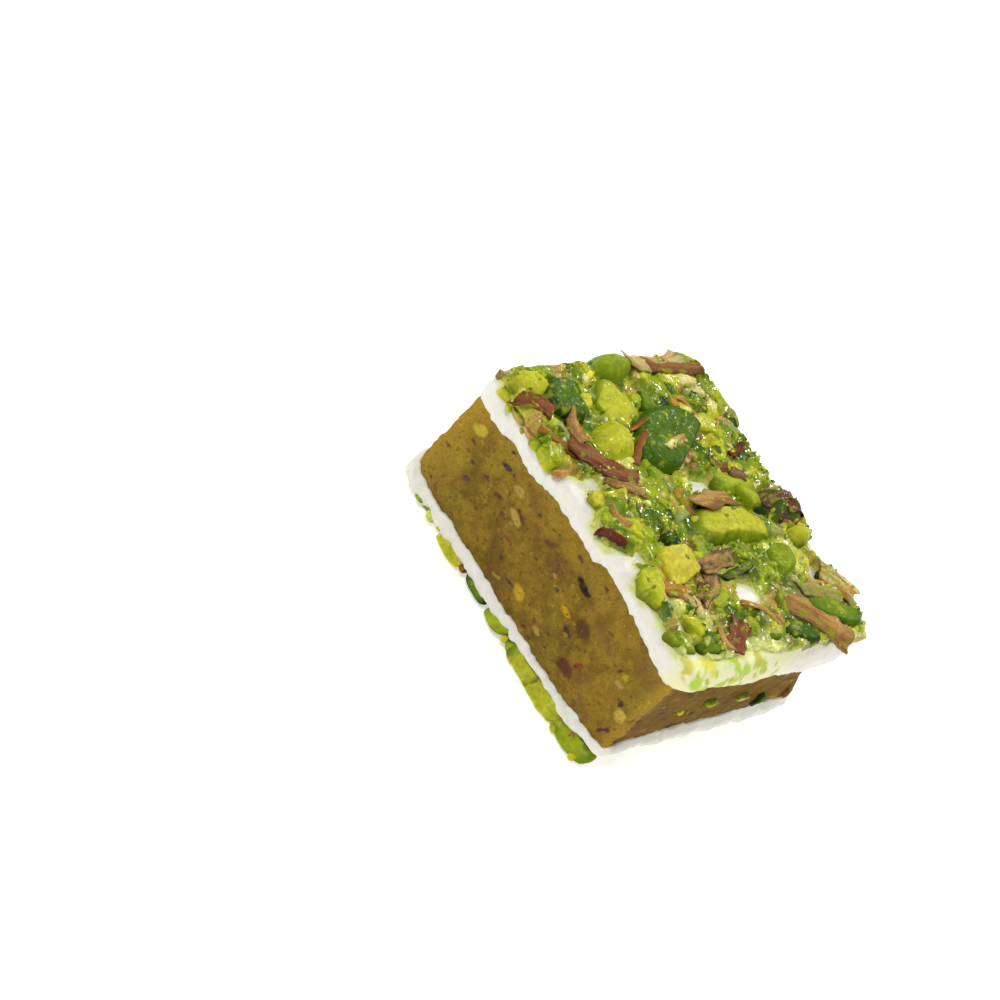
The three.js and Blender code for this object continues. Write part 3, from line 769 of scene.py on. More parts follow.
def coatShape(upper):
    # the shape, where crumbs may lie on it and how syrup lies on it
    form = coatForm[upper]
    middle = np.array(form["middle"])
    flat, ring, counts = coatGrid(form)
    x, y = (flat + middle).T
    place = flatPoints(x, y)
    heap, tint = chipHeap(x, y, form["seed"])
    heap = heap + lumps(place, (0.10, 0.5, 61), (0.05, 0.28, 62))
    tint = tint * (1 + 0.15 * lumpNoise(place, 0.9, 63))[:, None]
    thinned = thinnedAt(x, y) if upper else np.zeros(len(x))
    heap = heap * (1 - 0.65 * thinned)
    cover = coverAt(x, y) if upper else smoothStep(-0.25, 0.25, 0.35 + lumpNoise(place, 3.0, 64))
    cover = cover * smoothStep(1.0, 0.985, ring)
    # it hangs over the edge where nuts reach it, and is drawn in under the nougat where they don't
    fringe = smoothStep(0.94, 1.0, ring)
    droop = 0.4 + 0.7 * smoothStep(-4, -9, x) * (y < 0)
    sink = 0.5 + 1.2 * smoothStep(0.75, 0.92, ring)
    heap = (heap * (1 - 0.3 * fringe) - droop * fringe) * cover - sink * (1 - cover)
    # painted shade: darker in the gaps between chips
    grid = heap.reshape(counts)
    around = sum(np.roll(grid, step, axis) for axis in (0, 1) for step in (-6, -3, 3, 6)).ravel() / 8
    tint *= (1 - 0.5 * smoothStep(0.03, 0.45, around - heap))[:, None]
    patchNoise = lumps(place, (0.35, 1.2, 66), (0.2, 0.5, 67))
    for patchX, patchY, reach, colour in coat["patches"] if upper else []:
        away = np.hypot(x - patchX, y - patchY) / reach + patchNoise
        strength = 0.45 if colour == "film" else 0.7
        tint = blendTo(tint, tone[colour], strength * smoothStep(1.1, 0.6, away))
    tint = blendTo(tint, tone["film"], 0.75 * thinned)
    thin = np.maximum(smoothStep(0.97, 1.0, ring), 1 - smoothStep(0.3, 0.95, cover))
    tint = blendTo(tint, tone["mint"], 0.8 * thin * (0.7 + 0.3 * lumpNoise(place, 1.2, 65)))
    z = faceAt(True, x, y) + heap if upper else np.maximum(faceAt(False, x, y) - heap, 0.03)
    drawnIn = 1 - 0.075 * smoothStep(0.86, 1.0, ring) * (1 - cover)
    outer = np.column_stack([flat * drawnIn[:, None] + middle, z])
    flow = flowOver(z, counts, form["spacing"], 1 if upper else -1)
    quads, border = gridFaces(*counts)
    faces = quads.tolist()
    faces += np.column_stack([np.full(len(border), len(x)), np.roll(border, -1), border]).tolist()
    if not upper:
        faces = [face[::-1] for face in faces]
    points = np.concatenate([outer, [[*middle, form["heart"]]]])
    tint = np.clip(np.concatenate([tint, tint[:1]]), 0, 1)
    room = np.append(cover * (heap > 0.2), 0)
    return (points, faces, tint), room, np.concatenate([flow, flow[:1]])


# the larger pieces of nut and skin

nutMesh = {"around": 0.2, "inwards": 0.15}  # mm between points
formKeys = ("corners", "flat", "shoulder", "facets", "chords", "ragged", "rough")
# corners: 2 is round and 4 boxy; flat: how level the top is; facets and chords: broken faces;
# ragged: unevenness of the outline; rough: relief in mm
nutForms = {kind: dict(zip(formKeys, values)) for kind, values in {
    "half": (2.2, 8.0, 2.6, 2, 2, 0.05, 0.13),
    "dome": (2.3, 2.6, 2.0, 2, 2, 0.06, 0.13),
    "disc": (2.2, 9.0, 2.6, 0, 1, 0.05, 0.13),
    "ball": (2.2, 2.2, 2.0, 0, 1, 0.07, 0.18),
    "band": (3.0, 7.0, 2.4, 3, 0, 0.09, 0.25),
    "chunk": (2.6, 8.0, 2.4, 5, 4, 0.10, 0.2),
    "block": (5.0, 14.0, 3.4, 3, 2, 0.03, 0.07),
    "shard": (2.0, 6.0, 2.0, 4, 3, 0.12, 0.15),
}.items()}


def nutOutline(form, around, rng, seed):
    # directions round the nut, and how far out it reaches in each
    angle = np.linspace(0, 2 * math.pi, around, endpoint=False)
    power = 2 / form["corners"]
    outX = np.sign(np.cos(angle)) * np.abs(np.cos(angle)) ** power
    outY = np.sign(np.sin(angle)) * np.abs(np.sin(angle)) ** power
    waves = 0
    for count in (2, 3, 4, 5, 7):
        swing = form["ragged"] * rng.normal() * 1.5 / count
        waves = waves + swing * np.cos(count * angle + rng.uniform(0, 6.28))
    reach = 1 + waves
    for _ in range(form["chords"]):
        turn, limit = rng.uniform(0, 6.28), rng.uniform(0.66, 0.9)
        reach = np.minimum(reach, limit / np.maximum(outX * math.cos(turn) + outY * math.sin(turn), 1e-3))
    jitter = np.modf(np.sin(np.arange(around) * 78.2 + seed) * 43.7)[0]
    reach += 0.5 * max(form["ragged"] - 0.06, 0.0) * jitter  # splinters, on broken forms only
    return outX * reach, outY * reach


def nutShape(kind, size, rim, core, seed):
    # a piece of nut as a low heap with its own outline: rim colour at its edge, core colour where it was cut
    form = nutForms[kind]
    rng = np.random.default_rng(seed)
    length, width, height = size
    around = int(np.clip(1.6 * (length + width) / nutMesh["around"], 26, 150))
    steps = int(np.clip(width / 2 / nutMesh["inwards"], 6, 24))
    outX, outY = nutOutline(form, around, rng, seed)
    rho = 1 - (1 - np.linspace(0, 1, steps + 1)[1:]) ** 1.5
    x = np.append(0, (rho[:, None] * outX).ravel() * length / 2)
    y = np.append(0, (rho[:, None] * outY).ravel() * width / 2)
    way = np.append(0, np.repeat(rho, around))
    whole = height * (1 - way ** form["flat"]) ** (1 / form["shoulder"])
    z = whole.copy()
    for _ in range(form["facets"]):
        turn, level = rng.uniform(0, 6.28), rng.uniform(0.9, 1.12)
        steep = rng.uniform(0.15, 0.6) * min(1.0, 2 * height / length)
        z = np.minimum(z, height * level - steep * (x * math.cos(turn) + y * math.sin(turn)))
    broken = smoothStep(0.02, 0.2, whole - z)
    place = flatPoints(x, y) + rng.uniform(0, 50, 3)
    grains = lumps(place, (1.0, 1.6, 71), (0.6, 0.7, 72), (0.45, 0.36, 73))
    z = np.maximum(z + (1 - way ** 6) * form["rough"] * grains, 0.2 * height * (1 - way))
    points = np.concatenate([np.column_stack([x, y, z]), [[0, 0, 0]]])
    step = np.arange(around)
    after = np.roll(step, -1)
    faces = np.column_stack([np.zeros(around, int), 1 + step, 1 + after]).tolist()
    for level in range(steps - 1):
        inner, outer = 1 + level * around, 1 + (level + 1) * around
        faces += np.column_stack([inner + step, outer + step, outer + after, inner + after]).tolist()
    outer = 1 + (steps - 1) * around
    faces += np.column_stack([np.full(around, len(points) - 1), outer + after, outer + step]).tolist()
    streak = 0.5 * lumpNoise(place * (0.3, 1, 1), 0.5, 74) + 0.6 * lumpNoise(place, 1.3, 75)
    edge = smoothStep(0.5, 0.95, way + 0.15 * lumpNoise(place, 0.9, 76)) * (1 - 0.7 * broken)
    tint = blendTo(np.tile(core, (len(x), 1)), rim, np.clip(edge + 0.5 * streak * (1 - edge), 0, 1))
    tint = tint * (1 + 0.2 * streak + 0.15 * lumpNoise(place, 0.35, 77))[:, None]
    dust = smoothStep(0.35, 0.7, lumps(place, (1.0, 0.8, 78), (0.4, 0.3, 79)))
    tint = np.clip(blendTo(tint, tone["lime"], 0.4 * dust), 0, 1)
    return points, faces, np.concatenate([tint, tint[:1]])


skinMesh = {"spacing": 0.22, "thickness": 0.2}  # mm


def skinShape(length, width, rim, core, seed):
    # a thin plate of skin with broken ends, a little curled across, with streaks along it
    rng = np.random.default_rng(seed)
    rows, columns = max(14, int(length / skinMesh["spacing"])), max(7, int(width / skinMesh["spacing"]))
    u, v = np.meshgrid(np.linspace(-1, 1, rows), np.linspace(-1, 1, columns), indexing="ij")
    u, v = u.ravel(), v.ravel()
    knots = np.linspace(-1, 1, 9)
    near, far = (np.interp(u, knots, rng.uniform(0.6, 1.05, 9)) for _ in range(2))
    slant = rng.uniform(-0.5, 0.5, 2)
    place = flatPoints(u * length / 2, v * width / 2) + rng.uniform(0, 50, 3)
    ragged = 0.6 * lumpNoise(place, 0.8, 81) * u ** 6
    x = u * length / 2 + v * width / 2 * np.where(u < 0, slant[0], slant[1]) * np.abs(u) + ragged
    y = v * width / 2 * np.where(v < 0, near, far) + rng.uniform(-0.06, 0.06) * length * (u * u - 0.4)
    curl = 0.1 * width * rng.choice([1.0, 1.0, -0.7])
    ridges = 0.04 * lumpNoise(place * (0.25, 1, 1), 0.5, 84)
    # one ply is torn off along a line
    split = v - rng.uniform(-0.4, 0.4) - 0.4 * lumpNoise(place * (1, 0, 0), 1.5, 89)
    split = smoothStep(-0.05, 0.05, split)
    z = curl * (0.5 - v * v) + 0.12 * lumpNoise(place, 1.6, 83) + ridges + 0.14 * split
    under = np.column_stack([x, y, z - skinMesh["thickness"]])
    points = np.concatenate([np.column_stack([x, y, z]), under])
    quads, border = gridFaces(rows, columns)
    beside = np.roll(border, -1)
    wall = np.column_stack([border, border + len(x), beside + len(x), beside])
    faces = np.concatenate([quads, quads[:, ::-1] + len(x), wall]).tolist()
    streak = lumpNoise(place * (0.15, 1, 1), 0.4, 85) + 0.5 * lumpNoise(place, 1.3, 86)
    # painted shade: the flake is darker towards its edges
    paintedEdgeShade = 1 - 0.2 * smoothStep(0.7, 1.0, np.maximum(np.abs(u), np.abs(v)))
    tint = blendTo(np.tile(core, (len(x), 1)), rim, smoothStep(-0.3, 0.5, streak))
    tint *= ((1 + 0.28 * streak) * (0.8 + 0.25 * split) * paintedEdgeShade)[:, None]
    cracks = smoothStep(0.12, 0.02, np.abs(lumpNoise(place * (0.12, 1, 1), 0.9, 88)))
    tint *= (1 - 0.3 * cracks)[:, None]
    # nut flesh still clings to it here and there
    stain = smoothStep(0.35, 0.6, lumps(place, (1.0, 1.1, 87), (0.4, 0.4, 90)))
    tint = np.clip(blendTo(tint, tone["green"], 0.6 * stain), 0, 1)
    return points, faces, np.concatenate([tint, tint])


# pieces that show on the upper face: kind, x, y, length, width, height, turn from +X, edge colour, cut colour
upperNuts = [
    ("disc", -8.3, 2.3, 14.5, 8.0, 3.4, 109, "deep", "moss"),
    ("dome", 4.3, 3.4, 14.0, 6.4, 4.3, 80, "leaf", "lime"),
    ("ball", -9.0, -6.8, 8.4, 5.8, 3.8, 95, "bright", "lime"),
    ("disc", 17.0, 12.0, 10.0, 4.0, 3.0, 65, "deep", "leaf"),
    ("dome", 2.8, 15.0, 7.8, 5.8, 3.5, 85, "purple", "deep"),
    ("disc", -14.9, -11.2, 7.8, 6.0, 3.2, 100, "shade", "moss"),
    ("block", -13.6, -2.2, 7.4, 5.2, 3.0, 51, "green", "lime"),
    ("block", 7.8, -9.6, 6.2, 4.6, 3.5, 90, "yellow", "butter"),
    ("half", -2.0, 10.0, 8.0, 5.5, 2.6, 60, "leaf", "bright"),
    ("dome", 9.6, 8.8, 6.2, 5.2, 3.3, 105, "leaf", "green"),
    ("shard", 12.2, -5.2, 7.0, 2.2, 2.6, -68, "leaf", "bright"),
    ("shard", 17.8, -12.6, 5.4, 2.2, 2.0, 75, "deep", "leaf"),
    ("dome", 18.3, -0.2, 4.6, 2.8, 2.1, 75, "deep", "leaf"),
    ("disc", 18.2, 4.4, 7.6, 3.0, 2.2, 68, "shade", "deep"),
    ("dome", 5.5, -3.3, 5.4, 4.5, 2.5, 90, "grey", "leaf"),
    ("half", 9.6, -16.1, 5.2, 4.0, 2.6, -35, "bright", "lime"),
    ("chunk", 2.2, -12.7, 5.0, 4.5, 2.5, 40, "bright", "lime"),
    ("chunk", 1.0, -17.0, 3.4, 2.6, 2.3, -30, "leaf", "bright"),
    ("chunk", 3.2, -16.6, 3.0, 2.4, 2.4, 40, "deep", "green"),
    ("shard", 3.8, -8.6, 5.0, 2.2, 2.8, -60, "shade", "deep"),
    ("chunk", -3.0, -3.8, 4.8, 4.4, 2.7, 25, "leaf", "green"),
    ("chunk", -0.7, -8.5, 3.5, 3.0, 2.4, 0, "shade", "leaf"),
    ("dome", -18.7, 0.4, 8.6, 4.4, 4.1, 88, "leaf", "green"),
    ("half", 16.3, -16.4, 4.4, 2.0, 1.7, 41, "green", "bright"),
    ("shard", -16.0, 12.9, 6.0, 2.2, 2.6, 70, "lime", "pale"),
    ("chunk", -14.3, 16.6, 3.4, 3.0, 2.6, 20, "grey", "leaf"),
    ("chunk", -9.2, 16.6, 4.0, 2.8, 2.4, 10, "leaf", "grey"),
    ("chunk", -6.3, 11.0, 3.4, 3.0, 2.8, -40, "bright", "lime"),
    ("shard", 19.6, 15.4, 4.6, 2.0, 2.1, 60, "pale", "pale"),
    ("chunk", -13.9, -9.3, 2.5, 1.9, 3.9, 0, "lime", "yellow"),
    ("chunk", 7.2, -5.6, 2.6, 1.8, 2.8, 60, "lime", "bright"),
    ("shard", 3.3, -1.8, 3.5, 1.7, 3.0, 40, "lime", "yellow"),
    ("chunk", 2.8, 11.6, 3.0, 2.3, 2.7, 0, "shade", "shade"),
    ("block", 0.6, 10.8, 4.6, 3.4, 3.2, 90, "green", "bright"),
    ("chunk", -11.0, 14.2, 3.0, 2.5, 2.5, 0, "bright", "lime"),
    ("chunk", -8.3, 12.6, 3.0, 1.8, 2.5, 0, "green", "bright"),
    ("shard", -14.7, 14.2, 4.0, 1.9, 2.4, 60, "grey", "pale"),
    ("chunk", -13.0, 7.6, 2.3, 1.9, 2.6, 30, "leaf", "orange"),
    ("chunk", -15.0, 8.4, 4.2, 2.6, 2.6, -55, "shade", "deep"),
    ("half", -13.4, 3.2, 4.2, 2.6, 2.7, 10, "deep", "leaf"),
    ("shard", -18.4, -4.4, 5.0, 2.0, 2.4, 95, "lime", "gold"),
    ("chunk", -0.5, -1.8, 2.6, 2.0, 2.7, 40, "bright", "orange"),
    ("chunk", 0.0, -5.8, 4.0, 2.0, 2.6, 20, "green", "bright"),
    ("shard", 1.7, -3.7, 5.0, 1.8, 2.8, -70, "grey", "grey"),
    ("dome", -0.8, -13.6, 4.4, 3.2, 2.7, 20, "grey", "leaf"),
    ("chunk", 15.4, -13.4, 3.0, 2.3, 2.3, 0, "bright", "lime"),
    ("chunk", 11.7, 5.8, 2.5, 2.0, 2.3, 0, "leaf", "green"),
    ("dome", 6.8, 15.6, 5.4, 3.2, 2.8, 80, "green", "lime"),
    ("ball", -17.6, -15.2, 7.0, 4.4, 2.9, 85, "bright", "lime"),
    ("chunk", -10.8, 18.0, 3.8, 1.8, 2.4, 10, "leaf", "grey"),
    ("shard", -11.4, -15.0, 5.2, 2.2, 2.6, 30, "shade", "grey"),
    ("chunk", -17.2, 6.0, 4.0, 3.0, 2.7, 30, "bright", "lime"),
    ("dome", -15.2, -6.4, 2.4, 1.8, 2.9, 60, "leaf", "grey"),
    ("chunk", -2.4, -15.4, 2.6, 2.2, 2.3, 0, "lime", "yellow"),
    ("chunk", -19.6, -17.3, 2.0, 1.0, 1.5, 20, "tan", "pale"),
]
# flakes of skin that lie on them: x, y, length, width, turn, edge colour, middle colour
upperSkins = [
    (17.8, 8.0, 9.8, 3.4, 47, "brown", "tan"), (14.6, 11.4, 8.0, 2.8, 73, "grey", "tan"),
    (0.9, 2.9, 8.5, 3.6, 93, "brown", "tan"), (-18.9, 8.6, 11.0, 2.8, 90, "tan", "pale"),
    (-17.8, 11.6, 9.5, 2.0, 78, "rust", "brown"), (-6.0, -11.9, 9.2, 2.7, 51, "maroon", "brown"),
    (8.3, -3.2, 7.2, 2.6, 98, "purple", "tan"), (9.9, -0.7, 6.0, 1.4, -80, "purple", "deep"),
    (13.6, 16.9, 5.6, 4.2, 30, "orange", "pale"), (-10.8, -13.0, 4.0, 2.4, 0, "brown", "tan"),
    (-14.4, -17.2, 4.8, 2.3, 48, "maroon", "rust"), (17.3, -7.3, 4.6, 3.0, -50, "maroon", "brown"),
    (11.1, -7.4, 5.0, 2.6, -60, "purple", "tan"), (17.7, -10.2, 2.8, 1.5, 10, "tan", "orange"),
    (-10.0, -16.5, 4.6, 1.1, 38, "rust", "orange"), (-2.8, -10.3, 5.6, 1.7, 55, "brown", "tan"),
    (-4.3, -16.3, 2.4, 1.3, 30, "maroon", "maroon"), (-7.0, 1.7, 4.5, 1.4, 105, "pale", "tan"),
    (-2.2, 11.2, 2.5, 2.0, 60, "purple", "brown"), (-4.0, 9.0, 2.5, 1.6, 60, "maroon", "brown"),
    (-12.8, 9.2, 3.6, 1.2, 40, "orange", "tan"), (0.8, -14.6, 2.6, 1.2, 20, "orange", "tan"),
    (10.9, -13.2, 3.6, 2.2, 60, "rust", "orange"), (12.6, -11.4, 3.6, 2.0, 20, "orange", "pale"),
    (15.1, -1.2, 4.4, 2.0, 40, "orange", "tan"), (2.8, -18.0, 2.8, 1.0, 30, "maroon", "maroon"),
    (19.6, 11.2, 2.6, 1.8, 60, "brown", "tan"), (-7.2, -4.6, 4.6, 0.9, -45, "rust", "brown"),
    (-10.2, -2.6, 3.4, 0.8, -75, "rust", "orange"), (2.4, 15.2, 7.0, 1.5, 85, "purple", "brown"),
    (3.9, 16.6, 5.0, 1.6, 85, "purple", "maroon"), (-5.8, 14.6, 5.0, 1.1, -70, "rust", "maroon"),
]
# the broad nut that the sweet rests on
lowerNuts = [("half", 0.0, 0.0, 9.0, 7.0, 3.0, 20, "green", "lime")]
# bits on the sides: side, kind, way along it, height, length, width, thickness, turn, edge colour, cut colour
lowerEdgeNuts = [
    ("front", "chunk", -16.2, 1.0, 1.6, 0.7, 0.8, 0, "leaf", "bright"),
    ("front", "chunk", -13.6, 1.0, 2.2, 1.0, 0.7, 2, "lime", "mint"),
    ("front", "half", -9.2, 0.9, 5.0, 1.9, 0.9, 3, "yellow", "lime"),
    ("front", "chunk", -6.4, 1.0, 1.2, 0.8, 0.8, 4, "maroon", "rust"),
    ("front", "half", -3.6, 1.0, 4.4, 1.3, 0.5, -3, "shade", "leaf"),
    ("front", "half", 1.4, 1.6, 4.4, 2.2, 1.2, 16, "green", "bright"),
    ("front", "half", 0.8, 0.9, 3.6, 1.6, 0.7, 4, "leaf", "bright"),
    ("front", "chunk", 4.6, 1.0, 3.4, 1.7, 0.6, 0, "leaf", "bright"),
    ("front", "chunk", 9.0, 1.9, 2.4, 0.9, 1.0, 10, "tan", "orange"),
    ("front", "chunk", 14.9, 0.6, 1.3, 0.9, 1.4, 0, "bright", "lime"),
    ("front", "chunk", 3.2, 0.9, 1.1, 0.8, 1.0, 30, "yellow", "lime"),
    ("front", "chunk", 18.6, 0.7, 1.2, 0.8, 1.3, 0, "lime", "lime"),
    ("front", "chunk", -11.8, 1.2, 0.9, 0.6, 0.9, 0, "lime", "bright"),
    ("front", "band", 7.0, 1.1, 5.6, 2.4, 1.0, 3, "leaf", "lime"),
    ("front", "band", 11.0, 1.1, 7.4, 2.6, 1.2, 2, "bright", "lime"),
    ("front", "chunk", 14.2, 1.0, 2.4, 2.0, 0.9, 0, "yellow", "lime"),
    ("front", "band", 16.9, 1.3, 6.2, 2.6, 1.0, 6, "leaf", "bright"),
    ("front", "chunk", 19.2, 1.4, 1.6, 1.2, 0.8, 10, "bright", "lime"),
    ("front", "chunk", -9.0, 2.3, 0.8, 0.5, 0.6, 0, "lime", "lime"),
    ("right", "chunk", -3.0, 3.6, 0.9, 0.6, 0.8, 0, "lime", "yellow"),
    ("right", "half", -12.6, 2.5, 3.4, 1.0, 0.5, 4, "bright", "lime"),
    ("right", "chunk", -8.4, 2.4, 1.4, 0.8, 0.5, 0, "leaf", "bright"),
]
upperEdgeNuts = [
    ("front", "chunk", -17.6, 18.5, 2.4, 1.3, 1.3, 0, "lime", "lime"),
    ("front", "shard", -14.6, 18.5, 3.2, 1.0, 1.2, 0, "leaf", "tan"),
    ("front", "shard", -12.4, 18.6, 3.0, 1.0, 1.3, 5, "brown", "tan"),
    ("front", "chunk", -10.6, 18.5, 2.2, 1.4, 1.3, 0, "leaf", "bright"),
    ("front", "disc", -8.6, 18.5, 3.6, 1.5, 1.3, -8, "bright", "lime"),
    ("front", "chunk", -6.6, 18.9, 1.8, 1.0, 1.3, 40, "tan", "brown"),
    ("front", "chunk", -12.9, 17.9, 1.2, 0.7, 1.1, 0, "green", "bright"),
    ("front", "chunk", -16.0, 18.1, 1.3, 0.8, 1.1, 0, "bright", "lime"),
]
pasteCrumbs = [
    ("right", "chunk", 8.6, 7.4, 2.4, 2.0, 1.4, 40, "shade", "deep"),
    ("right", "shard", 3.6, 9.0, 3.6, 1.0, 1.0, -3, "leaf", "tan"),
    ("right", "shard", -3.7, 9.8, 3.0, 0.9, 1.0, 0, "leaf", "lime"),
    ("right", "chunk", -8.3, 8.9, 0.9, 0.7, 0.8, 30, "lime", "lime"),
    ("right", "shard", 15.4, 6.9, 2.6, 1.0, 1.1, -60, "rust", "brown"),
    ("left", "chunk", -6.0, 8.0, 2.2, 1.5, 0.6, 30, "deep", "leaf"),
    ("left", "chunk", 4.0, 12.0, 1.2, 0.9, 0.5, 0, "lime", "yellow"),
    ("left", "shard", 10.5, 6.5, 2.6, 0.9, 0.5, 20, "leaf", "tan"),
    ("left", "chunk", -12.5, 11.5, 0.9, 0.7, 0.4, 0, "bright", "lime"),
    ("back", "chunk", -9.0, 9.0, 1.8, 1.4, 0.6, 20, "leaf", "green"),
    ("back", "shard", 3.0, 6.5, 3.0, 0.9, 0.5, 10, "rust", "brown"),
    ("back", "chunk", 11.0, 11.5, 1.1, 0.9, 0.5, 0, "lime", "yellow"),
    ("back", "chunk", 15.0, 7.0, 2.1, 1.6, 0.6, 60, "shade", "deep"),
    ("back", "chunk", -2.5, 12.5, 0.9, 0.7, 0.4, 0, "bright", "lime"),
]

# between them nuts are spread by the CAD part's rule, the largest first
spread = {
    "steps": {"x": 0.7548776662, "y": 0.569840291, "slim": 0.414213562, "flat": 0.732050808,
              "turn": 0.236067977},
    "largest": 4.4, "smallest": 2.0, "spacing": 0.42, "least": 1.9,
    # places that are tried, and the bounds in mm: left, right, front, back
    "upper": (210, -19.8, 20.4, -16.8, 18.2), "lower": (64, -20.0, 18.4, -17.4, 17.6),
    "kinds": ("chunk", "shard", "half"),
}
bitColours = [("green", "bright"), ("leaf", "green"), ("bright", "lime"), ("deep", "leaf"),
              ("lime", "yellow"), ("leaf", "lime"), ("deep", "green"), ("grey", "green"),
              ("tan", "orange"), ("shade", "leaf"), ("brown", "tan")]


def nutsByRule(placed, count, left, right, front, back):
    found = []
    for n in range(1, count + 1):
        share = {key: (0.5 + n * step) % 1 for key, step in spread["steps"].items()}
        x = left + (right - left) * share["x"]
        y = front + (back - front) * share["y"]
        size = spread["largest"] + (spread["smallest"] - spread["largest"]) * n / count
        if any(reaches(row, x, y, size) for row in placed + found):
            continue
        width = size * (0.6 + 0.35 * share["slim"])
        height = max(size * (0.5 + 0.2 * share["flat"]), spread["least"])
        room = 0.45 * size  # it stays on the nougat at the left and the back
        x, y = max(x, room - block["length"] / 2), min(y, block["width"] / 2 - room)
        kind = spread["kinds"][n % len(spread["kinds"])]
        found.append((kind, x, y, size, width, height, 360 * share["turn"], *bitColours[n % len(bitColours)]))
    return found


def reaches(row, x, y, size):
    _, rowX, rowY, length, width, _, turn, _, _ = row
    angle = math.radians(turn)
    dx, dy = x - rowX, y - rowY
    along = (dx * math.cos(angle) + dy * math.sin(angle)) / (length + size)
    across = (dy * math.cos(angle) - dx * math.sin(angle)) / (width + size)
    return math.hypot(along, across) < spread["spacing"]


def turned(points, degrees):
    cos, sin = math.cos(math.radians(degrees)), math.sin(math.radians(degrees))
    return points @ np.array([[cos, -sin, 0], [sin, cos, 0], [0, 0, 1]]).T


bedding = {"nut": 0.9, "bit": 0.4}  # mm that nuts are sunk into the nougat and bits into a side


def placedNuts(rows, upper, seed):
    shapes = []
    for number, (kind, x, y, *size, turn, rim, core) in enumerate(rows):
        points, faces, tint = nutShape(kind, size, tone[rim], tone[core], seed + number)
        # drawn in where it is bedded
        points[:, :2] *= (0.78 + 0.22 * smoothStep(0.0, 1.2, points[:, 2]))[:, None]
        level = float(faceAt(upper, x, y))
        if upper:
            # painted shade: darker low down, between its neighbours
            tint = tint * (0.5 + 0.5 * smoothStep(1.0, 2.1, points[:, 2]))[:, None]
            points = turned(points, turn) + (x, y, level - bedding["nut"])
        else:
            points[:, :2] *= (1 - 0.2 * smoothStep(0.9, 1.9, points[:, 2]))[:, None]
            points = turned(points, turn) * (1, 1, -1) + (x, y, level + bedding["nut"])
            points[:, 2] = np.maximum(points[:, 2], 0.0)
            faces = [face[::-1] for face in faces]
        shapes.append((points, faces, tint))
    return joinShapes(shapes)


def sideBits(rows, seed):
    # pieces of nut that cling to a side, lying flat against it
    shapes = []
    for number, (side, kind, way, height, *size, turn, rim, core) in enumerate(rows):
        points, faces, tint = nutShape(kind, size, tone[rim], tone[core], seed + number)
        out = np.array([*sides[side], 0.0])
        along = np.array([-out[1], out[0], 0.0])
        reach = block["width"] / 2 if side in ("front", "back") else block["length"] / 2
        flat = turned(points, turn)
        place = out * (reach - bedding["bit"]) + along * way + (0, 0, height)
        points = flat[:, :1] * along + flat[:, 1:2] * (0, 0, 1) + flat[:, 2:] * out + place
        points[:, 2] = np.maximum(points[:, 2], 0.0)
        if height < 2:  # tucked in under the nougat, out at the foot
            points += out * (0.55 * (1.0 - points[:, 2]) - 0.5 * smoothStep(0.5, 0.0, points[:, 2]))[:, None]
        shapes.append((points, faces, tint))
    return joinShapes(shapes)


skinCells = {"along": 8, "across": 3}  # a flake is fitted to the highest point in each of these


def placedSkins(rows, under, seed):
    # each flake lies along the highest of what is under it
    cellsX, cellsY = skinCells["along"], skinCells["across"]
    count = cellsX * cellsY
    shapes = []
    for number, (x, y, length, width, turn, rim, core) in enumerate(rows):
        points, faces, tint = skinShape(length, width, tone[rim], tone[core], seed + number)
        local = turned(under - (x, y, 0), -turn)
        inside = local[(abs(local[:, 0]) < length / 2) & (abs(local[:, 1]) < width / 2)]
        cellX = np.floor((inside[:, 0] / length + 0.5) * cellsX).astype(int)
        cellY = np.floor((inside[:, 1] / width + 0.5) * cellsY).astype(int)
        highest = np.full(count, -np.inf)
        np.maximum.at(highest, np.clip(cellX * cellsY + cellY, 0, count - 1), inside[:, 2])
        found = np.isfinite(highest)
        wayX = (np.repeat(np.arange(cellsX) + 0.5, cellsY) / cellsX - 0.5) * length
        wayY = (np.tile(np.arange(cellsY) + 0.5, cellsX) / cellsY - 0.5) * width
        lie = np.column_stack([np.ones(count), wayX, wayX ** 2, wayY])[found]
        fit = np.linalg.lstsq(lie, highest[found], rcond=None)[0]
        lift = np.percentile(highest[found] - lie @ fit, 70)
        reach = np.clip(points[:, 0], -length / 2, length / 2)
        points[:, 2] += fit[0] + fit[1] * reach + fit[2] * reach ** 2 + fit[3] * points[:, 1] + lift
        shapes.append((turned(points, turn) + (x, y, 0), faces, tint))
    return joinShapes(shapes)


# loose crumbs on the nuts: a scatter over what carries them, with sizes in metres

scatter = {"Density": 2.2e6, "Smallest": 0.0001, "Largest": 0.00045, "Roughness": 0.00022, "Seed": 5}
# how densely they lie on nuts and skins, and from what height in mm
crumbPlace = {"share": 0.4, "lowest": 19.4}
crumbShades = ["leaf", "leaf", "green", "green", "bright", "bright", "lime", "lime", "lime", "yellow", "tan",
               "pale"]


def crumbMaterial():
    # Crumbs of pistachio, broken and moist: every grain its own shade, bright where thin
    material, tree = newMaterial("pistachio_crumb_broken")
    shade = addNode(tree, "ShaderNodeAttribute", {"attribute_name": "shade"})
    ramp = addNode(tree, "ShaderNodeValToRGB", links={"Fac": (shade, "Fac")})
    ramp.color_ramp.interpolation = "CONSTANT"
    stops = ramp.color_ramp.elements
    for number, name in enumerate(crumbShades):
        stop = stops.new(number / len(crumbShades)) if number > 1 else stops[number]
        stop.position = number / len(crumbShades)
        stop.color = [*tone[name], 1.0]
    addSurface(tree, {
        "Roughness": 0.4, "IOR": 1.47, "Specular IOR Level": 0.2, "Subsurface Weight": 0.3,
        "Subsurface Scale": 0.0006, "Subsurface Radius": (0.9, 1.1, 0.25),
        "Coat Weight": 0.4, "Coat Roughness": 0.1, "Coat IOR": 1.25,
    }, {"Base Color": (ramp, "Color")})
    return material


